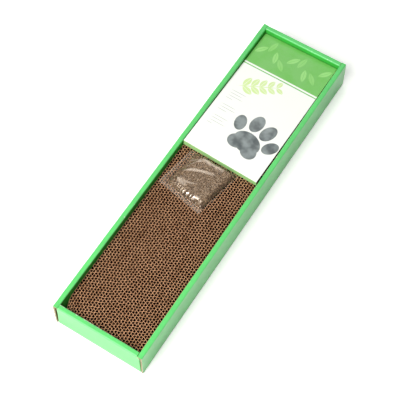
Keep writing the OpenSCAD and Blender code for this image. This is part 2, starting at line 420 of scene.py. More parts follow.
@dataclass
class Effects:
    """Shader node groups for what several finishes share, each built once and kept by its name."""

    groups: dict[str, bpy.types.NodeTree] = field(default_factory=dict)

    def start(
        self, name: str, inputs: dict[str, float | tuple], outputs: dict[str, str]
    ) -> tuple[Wiring, Node, Node]:
        """Makes an empty group with its sockets.

        Args:
            name: Name of the group.
            inputs: Default value of each input. A tuple makes a vector.
            outputs: Kind of each output: Float or Color.

        Returns:
            The wiring of the group, its input node and its output node.
        """
        tree = bpy.data.node_groups.new(name, "ShaderNodeTree")
        for label, value in inputs.items():
            kind = "NodeSocketVector" if isinstance(value, tuple) else "NodeSocketFloat"
            tree.interface.new_socket(label, in_out="INPUT", socket_type=kind).default_value = value
        for label, kind in outputs.items():
            tree.interface.new_socket(label, in_out="OUTPUT", socket_type="NodeSocket" + kind)
        self.groups[name] = tree
        wiring = Wiring(tree)
        return wiring, wiring.node("NodeGroupInput"), wiring.node("NodeGroupOutput")

    def use(self, wiring: Wiring, name: str, **inputs: Value) -> Node:
        """Places a group in a material.

        Args:
            wiring: Wiring of the material.
            name: Name of the group.
            **inputs: Values or sockets for its inputs.

        Returns:
            The group's node.
        """
        if name not in self.groups:
            getattr(self, "make_" + name)()
        return wiring.node("ShaderNodeGroup", inputs, node_tree=self.groups[name])

    def make_paper(self) -> None:
        """Builds the grain of paper: cloudy patches, short fibres and their height."""
        inputs = {"Place": (0.0, 0.0, 0.0), "Cloud": 60.0, "Fibre": 900.0}
        wiring, given, out = self.start("paper", inputs, {"Clouds": "Float", "Fibres": "Float"})
        place = given.outputs["Place"]
        clouds = wiring.noise(place, given.outputs["Cloud"], 4.0, 0.6)
        along = wiring.noise(wiring.stretched(place, (1.0, 0.22, 1.0)), given.outputs["Fibre"], 3.0, 0.7)
        across = wiring.noise(wiring.stretched(place, (0.3, 1.0, 0.3)), given.outputs["Fibre"], 3.0, 0.7)
        fibres = wiring.sum("MULTIPLY", wiring.sum("ADD", along, across), 0.5)
        wiring.supply(out, {"Clouds": clouds, "Fibres": fibres})

    def make_worn(self) -> None:
        """Builds worn specks: where a mark is strong and coarse noise is high, the print is rubbed off."""
        wiring, given, out = self.start(
            "worn", {"Place": (0.0, 0.0, 0.0), "Mark": 0.0, "Scale": 300.0, "Amount": 0.5}, {"Wear": "Float"}
        )
        lumps = wiring.noise(given.outputs["Place"], given.outputs["Scale"], 3.0, 0.65)
        reach = wiring.sum("MULTIPLY", given.outputs["Mark"], given.outputs["Amount"])
        wiring.feed(out.inputs["Wear"], wiring.step(wiring.sum("ADD", lumps, reach), 0.86, 0.94))

    def make_flutes(self) -> None:
        """Builds the faint lines of a fluted sheet that show through the paper glued on it."""
        wiring, given, out = self.start(
            "flutes", {"Across": 0.0, "Pitch": 3.0 * MM, "Uneven": 0.5}, {"Height": "Float"}
        )
        turns = wiring.sum("DIVIDE", given.outputs["Across"], given.outputs["Pitch"])
        wave = wiring.sum("SINE", wiring.sum("MULTIPLY", turns, math.tau))
        wiring.feed(out.inputs["Height"], wiring.sum("MULTIPLY", wave, given.outputs["Uneven"]))

    def start_motif(self, name: str) -> tuple[Wiring, Socket, Socket, Socket]:
        """Makes the group of a motif of the print, up to the place from its middle in shares of its half size.

        Args:
            name: Name of the group.

        Returns:
            The wiring, the place, the softness of the outline and the output for the mask.
        """
        inputs = {"Place": (0.0, 0.0, 0.0), "Centre": (0.0, 0.0, 0.0), "Half": (1.0, 1.0, 1.0), "Turn": 0.0}
        wiring, given, out = self.start(name, {**inputs, "Soft": 0.03}, {"Mask": "Float"})
        moved = wiring.vector("SUBTRACT", given.outputs["Place"], given.outputs["Centre"]).outputs[0]
        inputs = {"Vector": moved, "Angle": given.outputs["Turn"]}
        turned = wiring.node("ShaderNodeVectorRotate", inputs, rotation_type="Z_AXIS", invert=True).outputs[0]
        place = wiring.vector("DIVIDE", turned, given.outputs["Half"]).outputs[0]
        return wiring, place, given.outputs["Soft"], out.inputs["Mask"]

    def make_ellipse(self) -> None:
        """Builds the mask of an ellipse."""
        wiring, place, soft, mask = self.start_motif("ellipse")
        inside = wiring.sum("SUBTRACT", 1.0, wiring.vector("LENGTH", place).outputs["Value"])
        wiring.feed(mask, wiring.step(inside, 0.0, soft))

    def make_bar(self) -> None:
        """Builds the mask of a straight bar."""
        wiring, place, soft, mask = self.start_motif("bar")
        apart = wiring.node("ShaderNodeSeparateXYZ", {0: place})
        sizes = [wiring.sum("ABSOLUTE", apart.outputs[axis]) for axis in (0, 1)]
        inside = wiring.sum("SUBTRACT", 1.0, wiring.sum("MAXIMUM", *sizes))
        wiring.feed(mask, wiring.step(inside, 0.0, soft))

    def make_leaf(self) -> None:
        """Builds the mask of a leaf that is pointed at both ends, with a bare rib along its middle."""
        wiring, place, soft, mask = self.start_motif("leaf")
        apart = wiring.node("ShaderNodeSeparateXYZ", {0: place})
        across = wiring.sum("ABSOLUTE", apart.outputs[0])
        along = wiring.sum("MULTIPLY", apart.outputs[1], apart.outputs[1])
        inside = wiring.sum("SUBTRACT", wiring.sum("SUBTRACT", 1.0, along), across)
        body = wiring.step(inside, 0.0, soft)
        wiring.feed(mask, wiring.sum("MULTIPLY", body, wiring.step(across, 0.03, 0.09)))


EFFECTS = Effects()


def new_material(name: str) -> tuple[Material, Wiring, Node]:
    """Makes a material with a Principled shader.

    Args:
        name: Name of the material.

    Returns:
        The material, its wiring and its shader.
    """
    made = bpy.data.materials.new(name)
    made.use_nodes = True
    return made, Wiring(made.node_tree), made.node_tree.nodes["Principled BSDF"]


@dataclass(frozen=True)
class PrintedBoard:
    """Green printed face of the tray's board.

    The ink turns pale along a crease, partly where the crease stretches it and partly as a painted highlight on the
    rounded fold, and the paper is bare where the print is rubbed off. The varnish has the roughness and the coat,
    and gloss is the specular level of the print under it.
    """

    name: str = "green_print"
    ink: Colour = (0.070, 0.60, 0.114)
    pale: Colour = (0.20, 0.80, 0.28)
    bare: Colour = (0.80, 0.86, 0.74)
    roughness: float = 0.42
    coat: float = 0.66
    gloss: float = 0.5

    def build(self) -> Material:
        """Makes the material from the marks fold, nick, rim and across that the board carries.

        Returns:
            The material.
        """
        made, wiring, shader = new_material(self.name)
        place = wiring.place()
        paper = EFFECTS.use(wiring, "paper", Place=place, Cloud=38.0, Fibre=1500.0)
        clouds = wiring.step(paper.outputs["Clouds"], 0.3, 0.7)
        deep = tuple(part * 0.86 for part in self.ink)
        colour = wiring.blend(clouds, deep, self.ink)
        # Paler ink along the creases: partly stretched ink, partly a painted highlight on the rounded folds.
        stretched = wiring.sum("MULTIPLY", wiring.step(wiring.mark("fold"), 0.35, 1.0), 0.34)
        colour = wiring.blend(stretched, colour, self.pale)
        worn = EFFECTS.use(wiring, "worn", Place=place, Mark=wiring.mark("nick"), Scale=330.0, Amount=0.42)
        rubbed = EFFECTS.use(wiring, "worn", Place=place, Mark=wiring.mark("rim"), Scale=900.0, Amount=0.40)
        bare = wiring.sum("MAXIMUM", worn.outputs["Wear"], rubbed.outputs["Wear"])
        colour = wiring.blend(bare, colour, self.bare)
        grain = wiring.scaled(paper.outputs["Fibres"], 0.16, self.roughness - 0.08)
        rough = wiring.scaled(bare, 0.3, grain, clamp=True)
        wiring.supply(shader, {"Base Color": colour, "Roughness": rough, "Specular IOR Level": self.gloss})
        wiring.supply(shader, {"Coat Weight": self.coat, "Coat Roughness": 0.3})
        uneven = wiring.scaled(paper.outputs["Clouds"], 0.8, 0.1)
        flutes = EFFECTS.use(wiring, "flutes", Across=wiring.mark("across"), Uneven=uneven)
        height = wiring.scaled(paper.outputs["Fibres"], 0.35, flutes.outputs["Height"])
        wiring.bump(shader, height, 0.16, 0.06 * MM)
        return made


@dataclass(frozen=True)
class Kraft:
    """Brown paper, as liners, fluted sheets and cut edges show it: dark and light fibres, and the odd pale speck.

    Fibre is the number of fibres in a metre, and bump is their height.
    """

    name: str
    dark: Colour
    light: Colour
    speck: Colour
    fibre: float = 1400.0
    bump: float = 0.05 * MM

    def build(self) -> Material:
        """Makes the material. The mark shade, from -1 to 1, sets each sheet a little apart.

        Returns:
            The material.
        """
        made, wiring, shader = new_material(self.name)
        place = wiring.place()
        paper = EFFECTS.use(wiring, "paper", Place=place, Cloud=90.0, Fibre=self.fibre)
        mixed = wiring.scaled(wiring.mark("shade"), 0.18, paper.outputs["Clouds"])
        colour = wiring.blend(wiring.step(mixed, 0.25, 0.75), self.dark, self.light)
        speck = wiring.step(paper.outputs["Fibres"], 0.60, 0.74)
        colour = wiring.blend(wiring.sum("MULTIPLY", speck, 0.6), colour, self.speck)
        rough = wiring.scaled(paper.outputs["Fibres"], 0.2, 0.72, clamp=True)
        wiring.supply(shader, {"Base Color": colour, "Roughness": rough, "Specular IOR Level": 0.25})
        wiring.bump(shader, paper.outputs["Fibres"], 0.6, self.bump)
        return made


@dataclass(frozen=True)
class FluteWall:
    """Paper inside the open flutes, painted with shade: far darker than kraft even at the cut edge, and darker
    still below it, where little light gets down.

    Fade is the share of the upper stretch over which this painted shade deepens from the top colour to the deepest
    one.
    """

    top_painted_shade: Colour = (0.045, 0.018, 0.007)
    dark: Colour = (0.0040, 0.0010, 0.0004)
    fade: float = 0.25

    def build(self) -> Material:
        """Makes the material. The mark deep is 0 at the cut edge and 1 at the end of the upper stretch, and the
        painted shade deepens with it.

        Returns:
            The material.
        """
        made, wiring, shader = new_material("strip_flute_wall_painted_shade")
        paper = EFFECTS.use(wiring, "paper", Place=wiring.place(), Cloud=90.0, Fibre=1400.0)
        depth = wiring.scaled(paper.outputs["Fibres"], 0.2, wiring.mark("deep"))
        # Painted shade: the wall darkens from the top colour to the deepest one, down from the cut edge.
        colour = wiring.blend(wiring.step(depth, 0.1, 0.1 + self.fade), self.top_painted_shade, self.dark)
        rough = wiring.scaled(paper.outputs["Clouds"], 0.1, 0.85)
        wiring.supply(shader, {"Base Color": colour, "Roughness": rough, "Specular IOR Level": 0.0})
        return made


class Shape(Enum):
    """Outlines that the header card's print is made of."""

    ELLIPSE = "ellipse"
    BAR = "bar"
    LEAF = "leaf"


@dataclass(frozen=True)
class Motif:
    """One printed shape on the header card, in millimetres from the card's front left corner.

    Half is half its width and half its length, and turn is its turn to the left in degrees.
    """

    shape: Shape
    centre: Pair
    half: Pair
    turn: float
    ink: Value


@dataclass(frozen=True)
class CardPrint:
    """Print of the header card: a green band, a leafy sprig, a grey paw mark and thin rules on white.

    The card's width and length, and the blur of an outline, are in millimetres.
    """

    name: str = "card_print"
    white: Colour = (0.87, 0.89, 0.84)
    band: Colour = paint(104, 184, 78)
    leaf: Colour = paint(206, 230, 158)
    paw_dark: Colour = paint(66, 76, 78)
    paw_light: Colour = paint(130, 140, 140)
    rule: Colour = paint(178, 184, 180)
    width: float = 108.0
    length: float = 205.0
    blur: float = 0.25

    def band_motifs(self) -> list[Motif]:
        """Draws the green band at the back end, a thin stripe before it and leaves in a lighter green on it.

        Returns:
            The motifs.
        """
        low, high = 150.0, self.length + 5.0
        middle = self.width / 2
        motifs = [
            Motif(Shape.BAR, (middle, (low + high) / 2), (self.width, (high - low) / 2), 0.0, self.band),
            Motif(Shape.BAR, (middle, low - 3.2), (self.width, 0.9), 0.0, self.band),
        ]
        tints = (paint(138, 208, 108), paint(128, 200, 98))
        for number in range(9):
            centre = (9.0 + 11.3 * number, 177.0 + 11.0 * math.sin(1.7 * number))
            turn = -40.0 + 27.0 * (number % 4)
            motifs.append(Motif(Shape.LEAF, centre, (3.6, 10.5), turn, tints[number % 2]))
        return motifs

    def sprig_motifs(self) -> list[Motif]:
        """Draws a pale sprig that leans to the right across the white part.

        Returns:
            The motifs.
        """
        motifs = [Motif(Shape.BAR, (36.0, 122.0), (0.7, 27.0), -62.0, self.leaf)]
        for number in range(5):
            reach = -20.0 + 11.0 * number
            root = (36.0 + reach * math.sin(math.radians(62.0)), 122.0 + reach * math.cos(math.radians(62.0)))
            for side in (-1, 1):
                turn = -62.0 + 48.0 * side
                out = 9.0 - 0.7 * number
                tip = (root[0] - out * math.sin(math.radians(turn)), root[1] + out * math.cos(math.radians(turn)))
                motifs.append(Motif(Shape.LEAF, tip, (4.4 - 0.3 * number, out), turn, self.leaf))
        return motifs

    def paw_motifs(self, tone: Socket) -> list[Motif]:
        """Draws a large plain paw mark at the right of the front end.

        Args:
            tone: Its mottled grey.

        Returns:
            The motifs.
        """
        centre, size, lean = (70.0, 50.0), 1.3, -14.0
        pads = [
            ((0.0, -7.0), (15.0, 11.5), 0.0),
            ((-8.5, -13.0), (9.0, 8.0), 20.0),
            ((8.5, -13.0), (9.0, 8.0), -20.0),
            ((-20.5, 5.0), (6.2, 9.2), 24.0),
            ((-7.6, 15.5), (6.8, 10.4), 7.0),
            ((7.6, 15.5), (6.8, 10.4), -7.0),
            ((20.5, 5.0), (6.2, 9.2), -24.0),
        ]
        turn = math.radians(lean)
        motifs = []
        for (x, y), half, tilt in pads:
            across = centre[0] + size * (x * math.cos(turn) - y * math.sin(turn))
            along = centre[1] + size * (x * math.sin(turn) + y * math.cos(turn))
            reach = (half[0] * size, half[1] * size)
            motifs.append(Motif(Shape.ELLIPSE, (across, along), reach, tilt + lean, tone))
        return motifs

    def rule_motifs(self) -> list[Motif]:
        """Draws three groups of thin rules of uneven length at the left.

        Returns:
            The motifs.
        """
        lengths = ((26.0, 22.0, 25.0, 12.0), (24.0, 27.0, 16.0), (25.0, 21.0, 26.0, 9.0))
        motifs, row = [], 100.0
        for group in lengths:
            for reach in group:
                centre = (8.0 + reach / 2, row)
                motifs.append(Motif(Shape.BAR, centre, (reach / 2, 0.45), 0.0, self.rule))
                row -= 4.6
            row -= 6.5
        return motifs

    def build(self) -> Material:
        """Makes the material from the marks across and along that the card carries, in metres.

        Returns:
            The material.
        """
        made, wiring, shader = new_material(self.name)
        flat = wiring.node("ShaderNodeCombineXYZ", {0: wiring.mark("across"), 1: wiring.mark("along")}).outputs[0]
        flat = wiring.stretched(flat, (1 / MM, 1 / MM, 1 / MM))
        paper = EFFECTS.use(wiring, "paper", Place=wiring.place(), Cloud=45.0, Fibre=1800.0)
        coarse = wiring.noise(wiring.stretched(flat, (1.0, 1.0, 0.0)), 0.07, 2.0, 0.5)
        tone = wiring.blend(wiring.step(coarse, 0.30, 0.70), self.paw_dark, self.paw_light)
        colour: Value = self.white
        for motif in self.rule_motifs() + self.sprig_motifs() + self.band_motifs() + self.paw_motifs(tone):
            colour = self.printed(wiring, flat, colour, motif)
        shaded = wiring.sum("MULTIPLY", wiring.step(paper.outputs["Clouds"], 0.35, 0.65), 0.05)
        colour = wiring.blend(shaded, colour, (0.72, 0.74, 0.70))
        rough = wiring.scaled(paper.outputs["Fibres"], 0.14, 0.34)
        inputs = {"Base Color": colour, "Roughness": rough, "Coat Weight": 0.25, "Coat Roughness": 0.25}
        wiring.supply(shader, inputs)
        wiring.bump(shader, paper.outputs["Clouds"], 0.12, 0.05 * MM)
        return made

    def printed(self, wiring: Wiring, flat: Socket, under: Value, motif: Motif) -> Socket:
        """Prints one motif over what is there.

        Args:
            wiring: Wiring of the material.
            flat: Place on the flat card in millimetres.
            under: Colour under the motif.
            motif: The motif.

        Returns:
            The colour with the motif on it.
        """
        spot = {"Centre": (*motif.centre, 0.0), "Half": (*motif.half, 1.0), "Turn": math.radians(motif.turn)}
        mask = EFFECTS.use(wiring, motif.shape.value, Place=flat, **spot, Soft=self.blur / min(motif.half))
        return wiring.blend(mask.outputs["Mask"], under, motif.ink)


@dataclass(frozen=True)
class PlainCard:
    """Plain face of the card: the flap's light green, or the white back and cut edges."""

    name: str
    colour: Colour
    roughness: float

    def build(self) -> Material:
        """Makes the material.

        Returns:
            The material.
        """
        made, wiring, shader = new_material(self.name)
        paper = EFFECTS.use(wiring, "paper", Place=wiring.place(), Cloud=120.0, Fibre=1600.0)
        worn = EFFECTS.use(wiring, "worn", Place=wiring.place(), Mark=wiring.mark("fold"), Scale=500.0, Amount=0.4)
        deep = tuple(part * 0.9 for part in self.colour)
        colour = wiring.blend(wiring.step(paper.outputs["Clouds"], 0.3, 0.7), deep, self.colour)
        colour = wiring.blend(worn.outputs["Wear"], colour, (0.88, 0.92, 0.82))
        rough = wiring.scaled(paper.outputs["Fibres"], 0.2, self.roughness - 0.1, clamp=True)
        wiring.supply(shader, {"Base Color": colour, "Roughness": rough})
        wiring.bump(shader, paper.outputs["Fibres"], 0.25, 0.05 * MM)
        return made


@dataclass(frozen=True)
class ClearFilm:
    """Thin clear film, which mirrors a little of the light and lets the rest through.

    Its cover is the share that it mirrors: more at a slant, and where it is scuffed or crimped. Along listed
    wrinkles it mirrors more, partly as whitened film and partly as a painted sheen, and at listed glint places far
    more, as painted glints.

    Attributes:
        name: Name of the material.
        haze: Colour of the film's mirror, which shows in its whitened parts and in the painted sheen and glints.
        clear: Cover of the smooth film, from 0 to 1.
        scuffed: Cover that scuffs add.
        crimped: Cover that the crimped seal adds.
        whitening_and_sheen_cover: Cover that a wrinkle adds: partly whitened film, partly a painted sheen along it.
        painted_glint_cover: Cover that a listed glint place adds, a painted glint that mirrors the light sharply.
    """

    name: str = "clear_film"
    haze: Colour = (1.0, 0.83, 0.66)
    clear: float = 0.014
    scuffed: float = 0.016
    crimped: float = 0.014
    whitening_and_sheen_cover: float = 0.36
    painted_glint_cover: float = 0.34

    def build(self) -> Material:
        """Makes the material from the marks that the film carries: seal, haze for the whitened film and painted
        sheen, and shine for the painted glints.

        Returns:
            The material.
        """
        made, wiring, shader = new_material(self.name)
        place = wiring.place()
        scuffs = wiring.noise(wiring.stretched(place, (1.0, 0.3, 1.0)), 420.0, 4.0, 0.7)
        cover = wiring.scaled(wiring.step(scuffs, 0.45, 0.75), self.scuffed, self.clear)
        cover = wiring.scaled(wiring.mark("seal"), self.crimped, cover)
        # Painted glints: at the listed glint places the film mirrors far more.
        cover = wiring.scaled(wiring.mark("shine"), self.painted_glint_cover, cover)
        streaks = wiring.noise(wiring.stretched(place, (0.5, 1.0, 1.0)), 900.0, 3.0, 0.6)
        # Partly whitened film and partly painted sheen along the wrinkles.
        haze = wiring.sum("MULTIPLY", wiring.mark("haze"), wiring.scaled(streaks, 1.0, 0.5))
        cover = wiring.scaled(haze, self.whitening_and_sheen_cover, cover)
        edge_on = wiring.node("ShaderNodeLayerWeight", {"Blend": 0.35}).outputs["Facing"]
        cover = wiring.scaled(wiring.sum("POWER", edge_on, 3.0), 0.30, cover, clamp=True)
        tint = wiring.blend(wiring.step(scuffs, 0.4, 0.8), self.haze, (1.0, 0.91, 0.79))
        rough = wiring.scaled(scuffs, 0.16, 0.08)
        rough = wiring.scaled(haze, 0.36, rough, clamp=True)
        wiring.supply(shader, {"Alpha": cover, "Base Color": tint, "Roughness": rough, "Metallic": 1.0})
        wiring.bump(shader, scuffs, 0.2, 0.05 * MM)
        return made


@dataclass(frozen=True)
class DriedHerb:
    """Crumbled dried leaves and stems, from the darkest crumbs over most of the leaf to the palest straw."""

    name: str = "dried_herb_crumbs"
    leaf_dark: Colour = paint(54, 34, 20)
    leaf: Colour = paint(150, 123, 94)
    straw: Colour = paint(232, 208, 176)

    def build(self) -> Material:
        """Makes the material. The mark shade, from -1 to 1, sets each crumb's colour.

        Returns:
            The material.
        """
        made, wiring, shader = new_material(self.name)
        place = wiring.place()
        fine = wiring.noise(place, 2600.0, 3.0, 0.7)
        tone = wiring.scaled(wiring.sum("SUBTRACT", fine, 0.5), 0.5, wiring.mark("shade"))
        colour = wiring.blend(wiring.step(tone, -0.9, 0.2), self.leaf_dark, self.leaf)
        colour = wiring.blend(wiring.step(tone, 0.45, 0.95), colour, self.straw)
        wiring.supply(shader, {"Base Color": colour, "Roughness": wiring.scaled(fine, 0.2, 0.7)})
        wiring.bump(shader, fine, 0.5, 0.1 * MM)
        return made


class Side(Enum):
    """The four sides of the tray: the name, the way outwards and the way along."""

    LEFT = ("left", (-1.0, 0.0), (0.0, 1.0))
    RIGHT = ("right", (1.0, 0.0), (0.0, 1.0))
    FRONT = ("front", (0.0, -1.0), (1.0, 0.0))
    BACK = ("back", (0.0, 1.0), (1.0, 0.0))

    @property
    def label(self) -> str:
        """Name of the side."""
        return self.value[0]

    def place(self, out: Array, along: Array, up: Array) -> Array:
        """Gives places from their distance outwards, along the side and up.

        Args:
            out: Distance outwards.
            along: Distance along the side.
            up: Height.

        Returns:
            The places.
        """
        _, outwards, run = self.value
        x = outwards[0] * out + run[0] * along
        y = outwards[1] * out + run[1] * along
        return joined(x, y, up)


# How far an end's left and right edge draw in at the bottom, so that dark slits stay open, and further at the top
END_SLACK = {Side.FRONT: (0.2 * MM, 0.5 * MM), Side.BACK: (0.3 * MM, 0.3 * MM)}
END_LEAN = {Side.FRONT: (2.5 * MM, 0.6 * MM), Side.BACK: (0.5 * MM, 0.9 * MM)}


@dataclass
class Section:
    """Section of a side that is rolled over: its printed face and its plain face, station by station.

    Attributes:
        printed: Distance outwards and height of each station on the printed face.
        plain: The same on the plain face.
        fold: How near each station is to a crease, from 0 to 1.
        inner_fold: The same for the rim's inner crease alone.
        wall: How freely each station bulges outwards, from 0 to 1.
        rim: How freely each station moves up or down, from 0 to 1.
        inside: Number of the inner wall's first station.
        share: Place of each column along the side, from -1 to 1.
        inset: Distance of each column in from a cut end.
    """

    printed: Array
    plain: Array
    fold: Array
    inner_fold: Array
    wall: Array
    rim: Array
    inside: int
    share: Array
    inset: Array


@dataclass
class RolledSide:
    """One side of the tray: outer wall, rim and inner wall, folded from one board.

    Attributes:
        side: Which side it is.
        outer: Distance of the outer face from the tray's middle.
        inner: Distance of the inner wall's face from the tray's middle.
        height: Height of the rim.
        floor: Height of the floor that the inner wall stands on.
        reach: Half the length of the outer wall.
        inner_reach: Half the length of the inner wall.
        board: Thickness of the board.
        crease: Outer radius of a crease.
        liner_share: Share of the board's thickness that each flat paper takes.
        medium_share: Share of the board's thickness that the fluted paper takes.
        pitch: Length of one wave of the fluted paper.
        cell_depth: How deep the open flutes of a cut edge are drawn.
        end_wear: How badly the print is rubbed at the ends, from 0 to 1.
    """

    side: Side
    outer: float
    inner: float
    height: float
    floor: float
    reach: float
    inner_reach: float
    board: float
    crease: float = 1.4 * MM
    liner_share: float = 0.15
    medium_share: float = 0.11
    pitch: float = 3.0 * MM
    cell_depth: float = 4.0 * MM
    end_wear: float = 1.0

    def section(self) -> Section:
        """Draws the section from the outer wall's lower crease over the rim to the inner wall's cut edge.

        Returns:
            The section.
        """
        a, b, h, r, t = self.outer, self.inner, self.height, self.crease, self.board
        shoulder = [0.870, 0.885, 0.900, 0.915, 0.930, 0.945]
        heights = np.concatenate([np.linspace(r, 0.855 * h, 9), np.array(shoulder) * h, [h - r]])
        quarter = np.radians(np.linspace(0, 90, 7))
        bottom = joined(a - r + r * np.sin(quarter), r - r * np.cos(quarter))
        wall = joined(a, heights)[1:-1]
        outer_fold = joined(a - r + r * np.cos(quarter), h - r + r * np.sin(quarter))
        across = np.linspace(a - r, b + r, 7)[1:-1]
        rim = joined(across, h)
        inner_fold = joined(b + r - r * np.sin(quarter), h - r + r * np.cos(quarter))
        down = np.concatenate([[h - t, h - t - 0.1 * MM], np.linspace(h - t, self.floor, 11)[1:]])
        inner_wall = joined(b, down)
        printed = np.vstack([bottom, wall, outer_fold, rim, inner_fold, inner_wall])
        ends = np.cumsum([len(part) for part in (bottom, wall, outer_fold, rim, inner_fold, inner_wall)])
        station = np.arange(len(printed))
        on_outer = station < ends[2]
        plain = printed.copy()
        plain[:, 1] = np.minimum(plain[:, 1], h - t)
        plain[on_outer, 0] = a - t
        plain[station >= ends[3], 0] = b + t
        plain[:, 0] = np.clip(plain[:, 0], b + t, a - t)
        run = run_along(printed)
        middles = [run[ends[1] + 3], run[ends[3] + 3]]
        near = [unit(1 - np.abs(run - middle) / (2.2 * MM)) for middle in middles]
        on_wall = on_outer | (station >= ends[4])
        wall_free = np.where(on_wall, np.sin(np.pi * unit(printed[:, 1] / h)), 0.0)
        rim_free = np.where((station >= ends[1]) & (station < ends[4]), 1.0, 0.0)
        folds = (np.maximum(*near), near[1])
        return Section(printed, plain, *folds, wall_free, rim_free, int(ends[4]), *self.columns())

    def half_length(self, section: Section, end: int) -> Array:
        """Gives the half length of the board towards one end.

        Args:
            section: The section.
            end: The end, -1 or 1. Not used here.

        Returns:
            Half the length at each station.
        """
        out, up = section.printed.T
        below = (out < self.inner + 0.5 * self.crease) & (up < self.height - self.board - 0.05 * MM)
        return np.where(below, self.inner_reach, self.reach)

    def columns(self) -> tuple[Array, Array]:
        """Sets out the columns along the side.

        Returns:
            Their place from -1 to 1, and their distance in from a cut end.
        """
        edge = np.array([0.0, 0.15, 0.45, 0.9, 1.6, 2.6, 4.0]) * MM
        middle = np.linspace(-1, 1, 2 * round(self.reach / (4 * MM)) + 1)[1:-1]
        share = np.concatenate([np.full(len(edge), -1.0), middle, np.full(len(edge), 1.0)])
        inset = np.concatenate([edge, np.zeros(len(middle)), edge[::-1]])
        return share, inset

    def along(self, section: Section) -> Array:
        """Works out places along the side.

        Args:
            section: The section.

        Returns:
            The place of each station and column.
        """
        low = -self.half_length(section, -1)[:, None]
        high = self.half_length(section, 1)[:, None]
        share, inset = section.share, section.inset
        margin = inset.max()
        inner = (low + high) / 2 + share * (high - low - 2 * margin) / 2
        return np.where(share <= -1, low + inset, np.where(share >= 1, high - inset, inner))

    def rounded(self, section: Section, along: Array) -> Array:
        """Gives how far the face draws back from its plane at each place."""
        return np.zeros(along.shape)

    def faces(self, section: Section) -> tuple[Array, ...]:
        """Draws both faces, bent a little out of true.

        Args:
            section: The section.

        Returns:
            Places of the printed and the plain face, and places along the side.
        """
        seed = 11 + 7 * list(Side).index(self.side)
        along = self.along(section)
        run = run_along(section.printed)[:, None]
        bulge = Ripple(seed, 0.20 * MM, 70 * MM, 260 * MM).at(along, run * 1.4) * section.wall[:, None]
        waver = Ripple(seed + 1, 0.07 * MM, 16 * MM, 70 * MM).at(along, run * 0.0)
        waver = waver * np.maximum(section.fold, 0.2 * section.wall)[:, None]
        lift = Ripple(seed + 2, 0.08 * MM, 25 * MM, 120 * MM).at(along, run) * section.rim[:, None]
        out = section.printed[:, :1] + bulge + waver - self.rounded(section, along)
        up = section.printed[:, 1:] + lift - 0.08 * MM * section.rim[:, None]
        back = section.plain[:, :1] + bulge
        under = section.plain[:, 1:] + np.minimum(lift, 0.0)
        return self.side.place(out, along, up), self.side.place(back, along, under), along

    def marks(self, section: Section, along: Array) -> dict:
        """Works out the marks of the printed face.

        Args:
            section: The section.
            along: Place along the side of each station and column.

        Returns:
            The marks by name.
        """
        from_end = np.where(np.abs(section.share) >= 1, section.inset, section.inset.max())
        return {
            "fold": section.fold[:, None],
            "nick": section.inner_fold[:, None] * self.nick_share(),
            "rim": self.end_wear * unit(1 - from_end / (0.9 * MM))[None, :],
            "across": self.flute_coordinate(section, along),
        }

    def nick_share(self) -> float:
        """Gives how badly the rim's inner crease is nicked."""
        return 0.62

    def flute_coordinate(self, section: Section, along: Array) -> Array:
        """Gives the distance across the flutes, which run along a long side."""
        return np.broadcast_to(run_along(section.printed)[:, None], along.shape)

    def layers(self, front: Array, back: Array) -> list[Array]:
        """Gives both faces of both flat papers, from the printed face to the plain one."""
        return [front + share * (back - front) for share in (0.0, self.liner_share, 1 - self.liner_share, 1.0)]

    def cut_end(self, patches: Patches, front: Array, back: Array, inwards: Array) -> None:
        """Adds one cut end of the board, with its two papers, and open flutes where they end there.

        Args:
            patches: Where the faces go.
            front: Places of the printed face's last column.
            back: Places of the plain face's last column.
            inwards: Way from the cut end into the board.
        """
        layers = self.layers(front, back)
        patches.grid(np.stack(layers[:2], axis=1), 2, shade=0.3)
        patches.grid(np.stack(layers[2:], axis=1), 2, shade=0.3)
        for rows in (slice(0, 2), slice(-2, None)):
            patches.grid(np.stack([layers[1][rows], layers[2][rows]], axis=1), 2, shade=0.0)
        body = slice(1, -1)
        deep = inwards * self.cell_depth
        ring = [layers[1][body], layers[1][body] + deep, layers[2][body] + deep, layers[2][body]]
        patches.grid(np.stack(ring, axis=1), 1, shade=-0.6)
        for row in (1, -2):
            corners = [layers[1][row], layers[1][row] + deep, layers[2][row] + deep, layers[2][row]]
            patches.face(corners, 1, shade=-0.6)
        self.fluted_paper(patches, layers[1][body], layers[2][body], deep)

    def fluted_paper(self, patches: Patches, first: Array, second: Array, deep: Array) -> None:
        """Adds the wave of fluted paper that shows between the two papers of a cut end.

        Args:
            patches: Where the faces go.
            first: Places along the inner face of one paper.
            second: Places along the inner face of the other paper.
            deep: Way and distance into the board.
        """
        middle = (first + second) / 2
        run = run_along(middle)
        fine = np.arange(0.5 * self.pitch, run[-1] - 0.5 * self.pitch, self.pitch / 10)
        start = joined(*(np.interp(fine, run, first[:, k]) for k in range(3)))
        end = joined(*(np.interp(fine, run, second[:, k]) for k in range(3)))
        half = self.medium_share / (1 - 2 * self.liner_share) / 2
        wave = 0.5 + (0.5 - half) * np.sin(math.tau * fine / self.pitch)
        sheet = [start + (wave + sign * half)[:, None] * (end - start) for sign in (-1, 1)]
        lip = deep * 0.05
        floor = deep * 0.98
        ring = [sheet[0] + lip, sheet[0] + floor, sheet[1] + floor, sheet[1] + lip]
        strip = np.stack([*ring, ring[0]], axis=1)
        patches.grid(strip, 2, shade=0.1)
        for row in (0, -1):
            patches.face(strip[row, :4], 2, shade=0.1)

